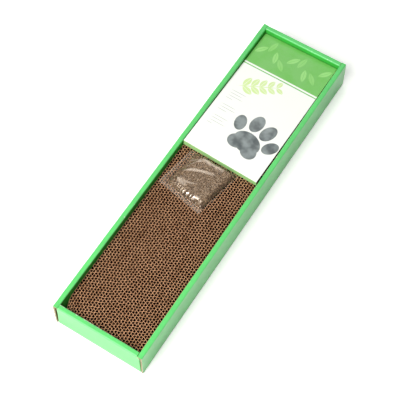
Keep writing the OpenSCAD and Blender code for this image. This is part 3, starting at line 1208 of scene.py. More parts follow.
    def build(self, finishes: list[Material]) -> Piece:
        """Makes the folded board.

        Args:
            finishes: Print, plain brown paper, cut edge and the inner wall's print, whose ink is painted darker as
                shade.

        Returns:
            The piece.
        """
        section = self.section()
        printed, plain, along = self.faces(section)
        patches = Patches()
        patches.parted(printed, section.inside, (0, 3), **self.marks(section, along))
        patches.grid(plain, 1, shade=-0.2)
        for row in (0, -1):
            patches.grid(np.stack(self.layers(printed[row], plain[row])), 2, shade=0.2)
        for column, way in ((0, 1), (-1, -1)):
            inwards = way * np.array([*self.side.value[2], 0.0])
            self.cut_end(patches, printed[:, column], plain[:, column], inwards)
        return patches.piece(f"{self.side.label}_side_board", finishes)


@dataclass
class RolledEnd(RolledSide):
    """One end of the tray. Its outer wall has rounded shoulders, and the rim and inner wall fit between the sides.

    Attributes:
        end_wear: How badly the print is rubbed at the ends, from 0 to 1.
        rim_reach: Half the length of the rim.
        shoulder: Radius of the outer wall's upper corners.
        slack: How far the left and the right edge draw in at the bottom.
        lean: How much further they draw in at the top.
    """

    end_wear: float = 0.45
    rim_reach: float = 0.0
    shoulder: float = 4.0 * MM
    slack: Pair = (0.0, 0.0)
    lean: Pair = (0.0, 0.0)

    def half_length(self, section: Section, end: int) -> Array:
        """Gives the half length of the board towards one end.

        Args:
            section: The section.
            end: The end, -1 or 1.

        Returns:
            Half the length at each station.
        """
        out, up = section.printed.T
        top = self.height - self.board
        rise = unit((up - top + self.shoulder) / self.shoulder)
        rounding = self.shoulder * (1 - np.sqrt(1 - rise**2))
        which = 0 if end < 0 else 1
        wall = self.reach - rounding - self.slack[which] - self.lean[which] * unit(up / top)
        wall = np.maximum(wall, self.rim_reach)
        reach = np.where(out > self.outer - self.crease * 0.999, wall, self.rim_reach)
        return np.where(out <= self.inner + 0.3 * self.crease, self.inner_reach, reach)

    def rounded(self, section: Section, along: Array) -> Array:
        """Draws the outer wall back at its upright edges, where it folds into the tabs.

        Args:
            section: The section.
            along: Places along the side.

        Returns:
            How far each place draws back.
        """
        out, up = section.printed.T
        radius = 1.1 * MM
        gap = np.full(along.shape, 1.0)
        for end in (-1, 1):
            edge = end * self.half_length(section, end)[:, None]
            gap = np.minimum(gap, np.abs(edge - along))
        depth = radius - np.sqrt(np.clip(radius**2 - np.clip(radius - gap, 0, radius) ** 2, 0, None))
        below = (out > self.outer - 0.5 * self.crease) & (up < self.height - self.board - self.shoulder)
        return depth * below[:, None]

    def nick_share(self) -> float:
        """Gives how badly the rim's inner crease is nicked."""
        return 1.0 if self.side is Side.FRONT else 0.75

    def flute_coordinate(self, section: Section, along: Array) -> Array:
        """Gives the distance across the flutes, which run up an end."""
        return along

    def cut_end(self, patches: Patches, front: Array, back: Array, inwards: Array) -> None:
        """Adds one end: printed where the wall folds into its tab, and above that cut along the flutes.

        Args:
            patches: Where the faces go.
            front: Places of the printed face's last column.
            back: Places of the plain face's last column.
            inwards: Way from the end into the board.
        """
        layers = self.layers(front, back)
        top = np.nonzero(front[:, 2] > self.height - self.board - self.shoulder)[0].min()
        for first, second, shade in ((0, 1, 0.3), (1, 2, -0.5), (2, 3, 0.3)):
            strip = np.stack([layers[first], layers[second]], axis=1)
            patches.grid(strip[: top + 1], 0)
            patches.grid(strip[top:], 2, shade=shade)


@dataclass
class Tray:
    """The folded carton tray.

    Attributes:
        finishes: Print, plain brown paper and cut edge of the board, and the inner walls' print, whose ink is
            painted darker as shade.
        tab_nose: Radius of the tabs' free corners.
        tab_root: How far a tab is relieved behind the end's face, below the crease that it hangs on.
    """

    finishes: list[Material]
    tab_nose: float = 8.0 * MM
    tab_root: float = 7.0 * MM

    def build(self) -> None:
        """Makes the floor, the four rolled sides and the four tabs."""
        self.floor_panel()
        for side in Side:
            self.side(side)
        for along in ("front", "back"):
            for across in ("left", "right"):
                self.tab(along, across)

    def side(self, side: Side) -> None:
        """Makes a long side or an end from the boxes of its three nodes.

        Args:
            side: Which one it is.
        """
        nodes = [f"{side.label}_{panel}" for panel in ("outer_wall", "rim", "inner_wall")]
        (low, high), (_, rim), (inner_low, inner_high) = (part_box(node) for node in nodes)
        is_end = side in (Side.FRONT, Side.BACK)
        out, along = (1, 0) if is_end else (0, 1)
        sizes = {
            "outer": max(abs(low[out]), abs(high[out])),
            "inner": min(abs(inner_low[out]), abs(inner_high[out])),
            "height": rim.z,
            "floor": inner_low.z,
            "reach": high[along],
            "inner_reach": inner_high[along] - 0.1 * MM,
            "board": high[out] - low[out],
        }
        if is_end:
            rolled = RolledEnd(side, **sizes, rim_reach=rim.x, slack=END_SLACK[side], lean=END_LEAN[side])
        else:
            rolled = RolledSide(side, **sizes)
        seat(rolled.build(self.finishes), "tray", nodes)

    def floor_panel(self) -> None:
        """Makes the floor: printed below, plain above, with the flutes showing faintly on its upper face."""
        low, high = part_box("tray_floor")
        x = np.linspace(low.x, high.x, 41)
        y = np.linspace(low.y, high.y, 121)
        across, along = np.meshgrid(x, y, indexing="ij")
        inside = np.minimum(across - low.x, high.x - across) * np.minimum(along - low.y, high.y - along)
        free = unit(inside / (6 * MM) ** 2)
        top = high.z - np.abs(Ripple(61, 0.12 * MM, 40 * MM, 160 * MM).at(across, along)) * free
        edge = 0.35 * MM * (1 - unit(inside / (1.5 * MM) ** 2))
        upper = joined(across, along, top)
        lower = joined(across, along, low.z + edge)
        patches = Patches()
        patches.grid(upper, 1, shade=-0.2)
        patches.grid(lower, 0, across=across, fold=1 - free)
        patches.edges(upper, lower, 2, shade=0.0)
        seat(patches.piece("floor_board", self.finishes), "tray", ["tray_floor"])

    def tab(self, along: str, across: str) -> None:
        """Makes one tab: a die-cut board with a rounded nose, relieved beside the crease that it hangs on.

        Args:
            along: Which end it hangs on.
            across: Which long side it is tucked into.
        """
        node = f"{along}_{across}_tab"
        low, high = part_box(node)
        root, nose = (low.y, high.y) if along == "front" else (high.y, low.y)
        way = 1.0 if nose > root else -1.0
        length, tall, r = abs(nose - root), high.z - low.z, self.tab_nose
        turn = np.radians(np.linspace(0, 90, 7))
        lower = joined(length - r + r * np.sin(turn), r - r * np.cos(turn))
        upper = joined(length - r + r * np.cos(turn), tall - r + r * np.sin(turn))
        deep = self.tab_root
        root_points = np.array([[1.5 * deep, tall], [1.2 * deep, 0.75 * tall], [deep, 0.3 * tall], [deep, 0.0]])
        outline = np.vstack([lower, upper, root_points])
        cut = len(lower) + len(upper)
        y, z = root + way * outline[:, 0], low.z + outline[:, 1]
        patches = Patches()
        layers = (low.x, low.x + 0.15 * (high.x - low.x), high.x - 0.15 * (high.x - low.x), high.x)
        ring = np.stack([joined(x, y, z) for x in layers], axis=1)
        patches.grid(ring[: cut + 1], 2, shade=0.0)
        patches.grid(ring[cut:], 0)
        patches.grid(ring[[-1, 0]], 2, shade=0.0)
        outside, inside = (0, 1) if across == "left" else (1, 0)
        patches.face(ring[:, 0], outside)
        patches.face(ring[:, 3], inside)
        seat(patches.piece(f"{node}_board", self.finishes), "tray", [node])


@dataclass
class ScratchingBlock:
    """The block of upright corrugated strips.

    Attributes:
        finishes: Wall of the flutes, painted dark as shade, cut edge and outer liner.
        count: Number of strips.
        bend_depth: How far the front left corner is pushed in.
        bend_run: Length of the left face that the bend takes up.
        bend_reach: Distance across the block over which the squeeze dies away.
        liner: Thickness of a liner.
        medium: Thickness of the fluted paper's frayed edge on the flanks of its wave.
        tip_share: Share of that thickness at the tips, which are pressed onto the liners.
        pressed: Share of a liner's thickness that the tips are pressed into.
        steep: Steepness of the flanks. Near 0 the wave is a plain sine.
        nesting: Unevenness of the steps between the strips' waves, as a share of half a wave.
        liner_tone: Mark shade of the liners, which are paler.
        medium_tone: Mark shade of the fluted paper.
        pitch: Length of one wave of the fluted paper.
        steps: Stations on one wave.
    """

    finishes: list[Material]
    count: int = 30
    bend_depth: float = 6.2 * MM
    bend_run: float = 25.0 * MM
    bend_reach: float = 24.0 * MM
    liner: float = 0.19 * MM
    medium: float = 0.66 * MM
    tip_share: float = 0.35
    pressed: float = 0.3
    steep: float = 3.0
    nesting: float = 0.15
    liner_tone: float = 1.5
    medium_tone: float = 0.6
    pitch: float = 7.5 * MM
    steps: int = 16

    def build(self) -> None:
        """Makes each strip in its own node's place."""
        last_low, last_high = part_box(f"strip_{self.count:02d}")
        self.right = last_high.x
        self.strip = last_high.x - last_low.x
        self.left = self.right - self.count * self.strip
        self.front, self.back = last_low.y, last_high.y
        self.low, self.high = last_low.z, last_high.z
        draw = np.random.default_rng(499)
        turns = 0.5 * draw.choice((-1, 1), self.count) + draw.normal(0, self.nesting, self.count)
        for number, phase in enumerate(np.cumsum(math.pi * turns), start=1):
            self.make_strip(number, phase)

    def settle(self, x: Array, y: Array) -> Array:
        """Moves points of the straight block to the right, where its corner is bent and its strips sway.

        Args:
            x: X in the straight block.
            y: Y in it.

        Returns:
            How far each point moves.
        """
        along = unit((self.bend_run - (y - self.front)) / self.bend_run)
        across = unit(1 - (x - self.left) / self.bend_reach)
        inside = unit(np.minimum(x - self.left, self.right - x) / (12 * MM))
        sway = Ripple(201, 0.16 * MM, 60 * MM, 220 * MM).at(x * 0.6, y)
        return self.bend_depth * along**2 * across**2 + sway * inside

    def make_strip(self, number: int, phase: float) -> None:
        """Makes one strip: two liners with a wave of fluted paper between them.

        Args:
            number: Number of the strip, counted from the left.
            phase: Phase of its wave. Each strip's wave lies about a quarter wave off the last one's.
        """
        draw = np.random.default_rng(500 + number)
        left = self.left + (number - 1) * self.strip
        top = self.high - draw.uniform(0.02, 0.28) * MM
        shade = draw.uniform(-0.5, 0.5)
        patches = Patches()
        y = np.linspace(self.front, self.back, 187)
        outermost = (number == 1, number == self.count)
        for side, face in enumerate((left, left + self.strip - self.liner)):
            line = np.full(len(y), face)
            finishes = [0, 0]
            finishes[side] = 2 if outermost[side] else 0
            self.wall(patches, draw, line, line + self.liner, y, top, self.liner_tone + shade, finishes)
        self.fluted(patches, draw, left, top, shade, phase)
        node = f"strip_{number:02d}"
        made = patches.piece(f"corrugated_{node}", self.finishes, crease_deg=50.0)
        seat(made, "scratching_block", [node])

    def wall(
        self,
        patches: Patches,
        draw: np.random.Generator,
        first: Array,
        second: Array,
        y: Array,
        top: float,
        shade: float,
        finishes: list[int],
        shift: Array | float = 0.0,
    ) -> None:
        """Adds one upright paper wall with a slightly ragged cut edge.

        Args:
            patches: Where the faces go.
            draw: Source of the random draws.
            first: X of its left face at each station.
            second: X of its right face at each station.
            y: Y of each station.
            top: Height of its cut edge.
            shade: Tone of the paper.
            finishes: Numbers of the finishes of its left and right face.
            shift: How far its right face is drawn on in Y from its left face.
        """
        ragged = draw.uniform(-0.10, 0.05, len(y)) * MM
        fray = draw.uniform(-0.03, 0.03, (2, len(y))) * MM
        heights = (self.low, top - 1.2 * MM, None)
        faces = []
        for x, sign in ((first, -1), (second, 1)):
            place = y + (0 if sign < 0 else shift) - (shift / 2 if np.ndim(shift) else 0)
            settled = x + self.settle(x, place)
            columns = []
            for level in heights:
                z = top + ragged if level is None else level
                spread = fray[(sign + 1) // 2] if level is None else 0.0
                columns.append(joined(settled + spread, np.clip(place, self.front, self.back), z))
            faces.append(np.stack(columns, axis=1))
        # The mark deep sets the painted shade on the walls: 0 at the cut edge, 1 from 1.2 mm down.
        for face, finish in zip(faces, finishes):
            patches.grid(face, finish, shade=shade, deep=np.array([1.0, 1.0, 0.0]))
        patches.edges(*faces, 1, shade=shade)

    def fluted(
        self, patches: Patches, draw: np.random.Generator, left: float, top: float, shade: float, phase: float
    ) -> None:
        """Adds the fluted paper between the liners.

        Args:
            patches: Where the faces go.
            draw: Source of the random draws.
            left: X of the strip's left face.
            top: Height of the strip.
            shade: Tone of the paper.
            phase: Phase of its wave.
        """
        stations = int((self.back - self.front) / self.pitch * self.steps)
        y = np.linspace(self.front + 0.2 * MM, self.back - 0.2 * MM, stations)
        uneven = Ripple(int(draw.integers(1000)), 0.14 * MM, 40 * MM, 160 * MM).at(y)
        angle = math.tau * (y + uneven) / self.pitch + phase
        crest = np.tanh(self.steep * np.sin(angle)) / math.tanh(self.steep)
        crushed = 1 - np.clip(Ripple(int(draw.integers(1000)), 0.03, 20 * MM, 120 * MM).at(y), 0, 0.08)
        thick = self.medium * (1 - (1 - self.tip_share) * crest**2)
        clear = self.strip - 2 * (1 - self.pressed) * self.liner - self.medium * self.tip_share
        middle = left + self.strip / 2 + clear / 2 * crest * crushed
        slope = np.gradient(middle, y)
        wide = np.sqrt(1 + slope**2)
        across = thick / 2 / wide
        drawn = -thick * slope / wide
        level = top - 0.03 * MM
        tone = self.medium_tone + shade
        self.wall(patches, draw, middle - across, middle + across, y, level, tone, [0, 0], drawn)


@dataclass
class HeaderCard:
    """The printed card, propped up by its own flap.

    Attributes:
        finishes: Print, flap and plain white.
        thickness: Thickness of the card.
        set_back: How far the front fold lies back from the front of the card's node.
        skew: How far the front fold lies further back at the left end than at the right one.
        flap_skew: The same for the flap's lower edge.
        lean: How far the flap's lower edge lies back from its fold, below zero where it lies forward.
        bow: Height by which the middle of the card bows up across its width.
        sag: Depth by which the card sags between its ends.
        fold: Outer radius of the fold.
    """

    finishes: list[Material]
    thickness: float = 0.45 * MM
    set_back: float = 1.5 * MM
    skew: float = 4.0 * MM
    flap_skew: float = 3.2 * MM
    lean: float = -0.3 * MM
    bow: float = 0.35 * MM
    sag: float = 0.5 * MM
    fold: float = 0.8 * MM

    def build(self) -> None:
        """Makes the card as one sheet, from its back edge over the fold to the flap's lower edge."""
        low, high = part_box("header_card")
        block_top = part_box("strip_30")[1].z
        front, back, top = low.y + self.set_back, high.y, high.z
        rest = block_top + 0.1 * MM + self.thickness
        slope = (top - rest) / (back - front)
        length = back - front - self.fold
        flat = np.linspace(0, length, 62)
        panel = joined(back - flat, rest + slope * flat - self.sag * np.sin(math.pi * flat / length))
        turn = np.radians(np.linspace(0, 90, 7))[1:]
        centre = (front + self.fold, panel[-1, 1] - self.fold)
        arc = joined(centre[0] - self.fold * np.sin(turn), centre[1] + self.fold * np.cos(turn))
        down = np.linspace(0, 1, 7)[1:]
        flap = joined(arc[-1, 0] + self.lean * down**1.3, arc[-1, 1] + (block_top - arc[-1, 1]) * down)
        line = np.vstack([panel, arc, flap])
        steps = np.diff(line, axis=0)
        ways = np.vstack([steps[:1], (steps[1:] + steps[:-1]) / 2, steps[-1:]])
        ways /= np.linalg.norm(ways, axis=1)[:, None]
        normal = joined(ways[:, 1], -ways[:, 0])
        run = run_along(line)
        x = np.linspace(low.x, high.x, 37)
        outer, inner = (self.sheet(x, line, normal, run, length, depth) for depth in (0.0, self.thickness))
        near = unit(1 - np.abs(run - run[len(panel) + 2]) / (1.6 * MM))
        marks = {"across": (x - low.x)[None, :], "along": (length - run)[:, None], "fold": near[:, None] * 0.8}
        patches = Patches()
        patches.parted(outer, len(panel) + 2, (0, 1), **marks)
        patches.grid(inner, 2)
        patches.edges(outer, inner, 2)
        seat(patches.piece("header_card_sheet", self.finishes), "card", ["header_card"])

    def sheet(self, x: Array, line: Array, normal: Array, run: Array, length: float, depth: float) -> Array:
        """Gives the places of one face of the card.

        Args:
            x: X of each column.
            line: Y and Z of each station of the printed face.
            normal: Way out of the printed face at each station.
            run: Distance of each station from the back edge.
            length: Length of the panel up to the fold.
            depth: Depth of this face under the printed one.

        Returns:
            Places, station by column.
        """
        across = (x - x[0]) / (x[-1] - x[0])
        toward_fold = unit(run / length)[:, None]
        down = unit((run - length) / (run[-1] - length))[:, None]
        skew = self.skew + (self.flap_skew - self.skew) * down
        flat = 1 - unit((run - length) / (3 * MM))[:, None]
        free = np.sin(math.pi * unit(run / length))[:, None] * 0.8 + 0.2
        y = line[:, :1] - depth * normal[:, :1] + skew * (0.5 - across) * toward_fold
        ripple = Ripple(301, 0.10 * MM, 50 * MM, 160 * MM).at(x[None, :], run[:, None])
        bowed = (self.bow * np.sin(math.pi * across) + ripple * np.sin(math.pi * toward_fold)) * free * flat
        z = line[:, 1:] - depth * normal[:, 1:] + bowed
        return joined(x[None, :], y, z)


@dataclass(frozen=True)
class Wrinkle:
    """One ridge in the upper film, along a bent line.

    Attributes:
        places: Start, middle and end of the line, in shares across and along the pouch.
        height: Height of the ridge.
        width: Half its width.
        haze: How hazy the film is there, from 0 to 1: partly whitened film, partly a painted sheen.
        shine: How strongly a painted glint raises its mirror there, from 0 to 1.
    """

    places: list[Pair]
    height: float
    width: float
    haze: float
    shine: float

    def line(self, count: int = 41) -> Array:
        """Gives points of the line, which passes through its middle place.

        Args:
            count: Number of points.

        Returns:
            The points, in shares.
        """
        start, middle, end = (np.array(place) for place in self.places)
        t = np.linspace(0, 1, count)[:, None]
        pull = 2 * middle - (start + end) / 2
        return (1 - t) ** 2 * start + 2 * t * (1 - t) * pull + t**2 * end


# The last six lines are painted glints: small ridges where the film's mirror is raised.
WRINKLES = tuple(
    Wrinkle(places, height * MM, width * MM, haze, shine)
    for *places, height, width, haze, shine in (
        ((0.140, 0.41), (0.371, 0.61), (0.720, 0.745), 0.90, 1.5, 1.0, 0.0),
        ((0.162, 0.50), (0.245, 0.735), (0.342, 0.872), 0.45, 0.8, 0.7, 0.0),
        ((0.134, 0.74), (0.234, 0.811), (0.342, 0.872), 0.45, 0.9, 0.8, 0.0),
        ((0.223, 0.74), (0.300, 0.805), (0.369, 0.864), 0.40, 0.8, 0.7, 0.0),
        ((0.300, 0.89), (0.518, 0.905), (0.780, 0.897), 0.65, 2.4, 0.85, 0.0),
        ((0.175, 0.30), (0.272, 0.262), (0.372, 0.231), 0.55, 1.2, 0.9, 0.0),
        ((0.180, 0.29), (0.385, 0.305), (0.600, 0.394), 0.45, 1.0, 0.6, 0.0),
        ((0.200, 0.30), (0.330, 0.262), (0.480, 0.250), 0.30, 3.2, 0.5, 0.0),
        ((0.108, 0.17), (0.175, 0.190), (0.238, 0.190), 0.40, 1.0, 0.9, 0.0),
        ((0.440, 0.083), (0.439, 0.102), (0.438, 0.126), 0.42, 1.0, 0.0, 1.0),
        ((0.499, 0.092), (0.496, 0.120), (0.490, 0.150), 0.48, 1.2, 0.0, 1.0),
        ((0.555, 0.085), (0.575, 0.137), (0.615, 0.184), 0.60, 1.6, 0.0, 1.0),
        ((0.629, 0.086), (0.633, 0.103), (0.637, 0.122), 0.40, 1.1, 0.0, 1.0),
        ((0.655, 0.085), (0.733, 0.160), (0.845, 0.205), 0.75, 1.7, 0.0, 1.0),
        ((0.784, 0.096), (0.805, 0.102), (0.827, 0.108), 0.30, 1.1, 0.0, 1.0),
    )
)


FILM_CLOTH = {
    "vertex_group_mass": "sealed",
    "quality": 8,
    "mass": 0.02,
    "tension_stiffness": 40.0,
    "compression_stiffness": 40.0,
    "shear_stiffness": 20.0,
    "bending_stiffness": 0.02,
    "tension_damping": 10.0,
    "compression_damping": 10.0,
    "shear_damping": 10.0,
    "shrink_min": -0.045,
    "use_pressure": True,
    "uniform_pressure_force": 0.6,
}


@dataclass
class HerbPouch:
    """The clear pouch and the dried herb in it.

    Attributes:
        film: Material of the film.
        herb: Material of the herb.
        corners: Front left, front right, back left and back right corner on the block.
        width: Its width between the left and right edge, for the pleats.
        length: Its length between the front and back edge, for the ridges.
        rise: Height of the filled pouch above the block.
        film_thickness: Thickness of the drawn film.
        cells: Cells of the film's mesh along each way before it is refined.
        frames: Steps of the simulation.
        seals: Shares at which the left, right, front and back seal begin.
        seal_ramp: Share over which a seal takes hold.
        pleat: Distance between the pleats that gather along the front seal.
        crumbs: Number of crumbs.
        stems: Number of stem bits.
    """

    film: Material
    herb: Material
    corners: tuple[Pair, Pair, Pair, Pair]
    width: float = 68 * MM
    length: float = 66 * MM
    rise: float = 6.4 * MM
    film_thickness: float = 0.10 * MM
    cells: int = 60
    frames: int = 22
    seals: tuple[float, float, float, float] = (0.060, 0.975, 0.100, 0.970)
    seal_ramp: float = 0.02
    pleat: float = 4.2 * MM
    crumbs: int = 6600
    stems: int = 420

    def build(self) -> None:
        """Makes the two films and the herb."""
        self.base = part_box("pouch_base_film")[0].z
        self.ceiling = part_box("pouch_top_film")[1].z
        share = np.linspace(0, 1, self.cells + 1)
        self.u, self.v = np.meshgrid(share, share, indexing="ij")
        heights = self.draped()
        self.fine_u, self.fine_v, self.fine_z = self.refined(heights)
        self.x, self.y = self.spot(self.fine_u, self.fine_v)
        self.firm = self.sealed(self.fine_u, self.fine_v)
        self.upper_film()
        self.lower_film()
        self.filling()

    def spot(self, u: Array, v: Array) -> tuple[Array, Array]:
        """Works out places on the block.

        Args:
            u: Shares across the pouch.
            v: Shares along it.

        Returns:
            X and Y.
        """
        fl, fr, bl, br = (np.array(corner) * MM for corner in self.corners)
        u, v = np.asarray(u)[..., None], np.asarray(v)[..., None]
        place = (1 - v) * ((1 - u) * fl + u * fr) + v * ((1 - u) * bl + u * br)
        return place[..., 0], place[..., 1]

    def sealed(self, u: Array, v: Array) -> Array:
        """Works out how firmly the two films are joined.

        Args:
            u: Shares across the pouch.
            v: Shares along it.

        Returns:
            The firmness, from 0 to 1.
        """
        left, right, front, back = self.seals
        inside = (left - u, u - right, front - v, v - back)
        return np.maximum.reduce([unit(share / self.seal_ramp) for share in inside])

    def heap(self, u: Array, v: Array) -> Array:
        """Shapes the heap of herb.

        Args:
            u: Shares across the pouch.
            v: Shares along it.

        Returns:
            Its height above the block.
        """
        slopes = ((u - 0.12) / 0.20, (0.985 - u) / 0.095, (v - 0.100) / 0.13, (0.985 - v) / 0.06)
        edge = math.prod(np.sin(unit(slope) * math.pi / 2) for slope in slopes)
        x, y = self.spot(u, v)
        lumps = Ripple(401, 0.45 * MM, 9 * MM, 30 * MM).at(x, y)
        tilt = 0.86 + 0.14 * u - 0.10 * v
        return np.clip(edge**0.8 * (self.rise * tilt + lumps) - 0.1 * MM, 0.0, None)

    def draped(self) -> Array:
        """Lets the upper film settle over the heap of herb.

        Returns:
            Height of the film above the block at each corner of the mesh.
        """
        x, y = self.spot(self.u, self.v)
        heap = self.heap(self.u, self.v)
        start = heap * 1.04 + 0.6 * MM * (1 - self.sealed(self.u, self.v)) + 0.1 * MM
        sheet = self.bare_grid("settling_film", x, y, start)
        sheet_group = sheet.vertex_groups.new(name="sealed")
        firm = self.sealed(self.u, self.v).ravel()
        for number in np.nonzero(firm > 0.5)[0]:
            sheet_group.add([int(number)], 1.0, "REPLACE")
        bed = self.bare_grid("settling_bed", x, y, heap)
        bed.modifiers.new("bed", "COLLISION")
        bed.collision.thickness_outer = 0.2 * MM
        bed.collision.cloth_friction = 20.0
        cloth = sheet.modifiers.new("film", "CLOTH")
        for name, value in FILM_CLOTH.items():
            setattr(cloth.settings, name, value)
        cloth.settings.effector_weights.gravity = 0.0
        cloth.collision_settings.distance_min = 0.25 * MM
        cloth.collision_settings.use_self_collision = False
        scene = bpy.context.scene
        for step in range(1, self.frames + 1):
            scene.frame_set(step)
        settled = sheet.evaluated_get(bpy.context.evaluated_depsgraph_get())
        places = np.zeros(len(sheet.data.vertices) * 3)
        settled.data.vertices.foreach_get("co", places)
        places = places.reshape(self.cells + 1, self.cells + 1, 3)
        scene.frame_set(1)
        for helper in (sheet, bed):
            bpy.data.objects.remove(helper)
        height = places[..., 2] - self.base
        LOG.info("film settled between %.1f and %.1f mm", height.min() / MM, height.max() / MM)
        room = self.ceiling - self.base
        return np.clip(height, heap + 0.1 * MM, room)

    def bare_grid(self, name: str, x: Array, y: Array, height: Array) -> Piece:
        """Makes a plain grid mesh that a simulation uses.

        Args:
            name: Name of the object.
            x: X of its corners.
            y: Y of its corners.
            height: Height of its corners above the block.

        Returns:
            The object.
        """
        mesh = bpy.data.meshes.new(name)
        places = joined(x, y, self.base + height).reshape(-1, 3)
        mesh.from_pydata(places.tolist(), [], grid_faces(*x.shape).tolist())
        return placed(name, mesh)

    def refined(self, heights: Array) -> tuple[Array, Array, Array]:
        """Doubles the mesh of the film and smooths its heights a little.

        Args:
            heights: Height at each corner.

        Returns:
            The shares across and along, and the height, at each corner of the finer mesh.
        """
        size = 2 * self.cells + 1
        fine = np.zeros((size, size))
        fine[::2, ::2] = heights
        fine[1::2, ::2] = (fine[:-1:2, ::2] + fine[2::2, ::2]) / 2
        fine[:, 1::2] = (fine[:, :-1:2] + fine[:, 2::2]) / 2
        fine[1:-1, 1:-1] = (
            4 * fine[1:-1, 1:-1] + fine[:-2, 1:-1] + fine[2:, 1:-1] + fine[1:-1, :-2] + fine[1:-1, 2:]
        ) / 8
        share = np.linspace(0, 1, size)
        u, v = np.meshgrid(share, share, indexing="ij")
        return u, v, fine

    def crimp(self) -> Array:
        """Draws the ridges that the sealing bars pressed into both films.

        Returns:
            Their height at each corner of the finer mesh.
        """
        depth = self.fine_v * self.length
        front = unit((0.12 - self.fine_v) / 0.02) * unit(self.fine_v / 0.015)
        ridges = 0.14 * MM * np.sin(math.tau * depth / (1.9 * MM)) * front
        side = unit((0.09 - self.fine_u) / 0.03)
        pleats = Ripple(433, 0.30 * MM, 5 * MM, 26 * MM).at(self.fine_u * self.width * 3.0, self.y * 0.35)
        return 0.35 * MM + ridges + np.abs(pleats) * np.maximum(side, 0.35 * front)

    def wrinkled(self) -> tuple[Array, dict[str, Array]]:
        """Draws the wrinkles and pleats in the upper film.

        Returns:
            Their height, and the marks haze and shine, which carry the painted sheen and glints.
        """
        here = joined(self.x, self.y)
        height, haze, shine = np.zeros((3, *self.x.shape))
        for wrinkle in WRINKLES:
            line = wrinkle.line()
            points = joined(*self.spot(line[:, 0], line[:, 1]))
            apart = np.linalg.norm(here[:, :, None, :] - points, axis=-1)
            nearest = apart.argmin(axis=-1)
            taper = np.sin(math.pi * nearest / (len(line) - 1)) ** 0.6
            ridge = np.exp(-((apart.min(axis=-1) / wrinkle.width) ** 2)) * taper
            height = height + wrinkle.height * ridge
            haze = np.maximum(haze, wrinkle.haze * ridge)
            shine = np.maximum(shine, wrinkle.shine * ridge)
        u, v = self.fine_u, self.fine_v
        run = u * np.linalg.norm(np.array(self.corners[1]) - np.array(self.corners[0])) * MM
        sway = Ripple(441, 0.9 * MM, 14 * MM, 40 * MM).at(run)
        wave = np.abs(np.sin(math.pi * (run + sway + 6.0 * MM * v) / self.pleat)) ** 1.5
        gathered = unit((u - 0.12) / 0.10) * unit((0.74 - u) / 0.06)
        reach = unit((v - 0.07) / 0.03) * unit((0.26 - v) / 0.12)
        return height + 0.55 * MM * wave * gathered * reach, {"haze": haze, "shine": shine}

    def film_shell(self, name: str, top: Array, bottom: Array, node: str, **marks: Array) -> Piece:
        """Makes one film as a thin closed shell.

        Args:
            name: Name of the piece.
            top: Height of its upper face above the block.
            bottom: Height of its lower face above the block.
            node: Node that it replaces.
            **marks: Its marks haze and shine, which carry the painted sheen and glints.

        Returns:
            The piece.
        """
        size = self.fine_u.shape[0]
        pinked = 0.45 * MM * np.abs((np.arange(size) / 2) % 2 - 1)[:, None]
        y = self.y + pinked * unit(1 - self.fine_v / 0.02)
        upper, lower = (joined(self.x, y, self.base + height) for height in (top, bottom))
        patches = Patches()
        for face in (upper, lower):
            patches.grid(face, seal=self.firm, **marks)
        patches.edges(upper, lower, seal=1.0)
        return seat(patches.piece(name, [self.film], crease_deg=60.0), "pouch", [node])

    def upper_film(self) -> None:
        """Makes the upper film, which is drawn over the herb and crimped onto the lower film."""
        free = 1 - self.firm
        ridges, marks = self.wrinkled()
        height = np.maximum((self.fine_z + ridges) * free, self.crimp() * (1 - free) + 0.22 * MM)
        room = self.ceiling - self.base - self.film_thickness - 0.05 * MM
        height = np.minimum(height, room)
        self.film_top = height
        piece = self.film_shell("upper_film", height + self.film_thickness, height, "pouch_top_film", **marks)

    def lower_film(self) -> None:
        """Makes the lower film, which lies on the block and follows the crimps."""
        height = (self.crimp() - 0.33 * MM) * self.firm + 0.02 * MM
        height = np.clip(height, 0.02 * MM, self.film_top - self.film_thickness - 0.02 * MM)
        self.film_shell("lower_film", height + self.film_thickness, height, "pouch_base_film")

    def under_film(self, u: Array, v: Array) -> Array:
        """Finds the upper film's lower face.

        Args:
            u: Shares across the pouch.
            v: Shares along it.

        Returns:
            Its height above the block.
        """
        size = self.film_top.shape[0] - 1
        row, column = np.clip(u * size, 0, size - 1.001), np.clip(v * size, 0, size - 1.001)
        i, j = row.astype(int), column.astype(int)
        a, b = row - i, column - j
        z = self.film_top
        near = (1 - a) * z[i, j] + a * z[i + 1, j]
        far = (1 - a) * z[i, j + 1] + a * z[i + 1, j + 1]
        return (1 - b) * near + b * far

    def filling(self) -> None:
        """Makes the herb: a lumpy bed with crumbs and bits of stem strewn through its upper layer."""
        draw = np.random.default_rng(77)
        patches = Patches()
        self.bed(patches)
        self.strew(patches, draw, self.crumbs, (0.50, 1.30), (0.34, 0.85), (0.07, 0.26), (-0.9, 0.68))
        self.strew(patches, draw, self.stems, (1.0, 2.4), (0.16, 0.30), (0.08, 0.14), (0.5, 1.0))
        piece = patches.piece("herb_crumbs", [self.herb], crease_deg=20.0)
        seat(piece, "pouch", ["dried_herb"])

    def bed(self, patches: Patches) -> None:
        """Adds the closed bed of fine herb under the loose crumbs.

        Args:
            patches: Where the faces go.
        """
        share = np.linspace(0.11, 0.965, 70)
        u, v = np.meshgrid(share, share, indexing="ij")
        x, y = self.spot(u, v)
        grain = np.abs(Ripple(451, 0.35 * MM, 1.6 * MM, 5 * MM, 14).at(x, y))
        top = np.clip(np.minimum(self.heap(u, v), self.under_film(u, v)) - 0.9 * MM - grain, 0.16 * MM, None)
        upper = joined(x, y, self.base + top)
        lower = joined(x, y, self.base + 0.14 * MM)
        for face in (upper, lower):
            patches.grid(face, shade=-0.6)
        patches.edges(upper, lower, shade=-0.6)

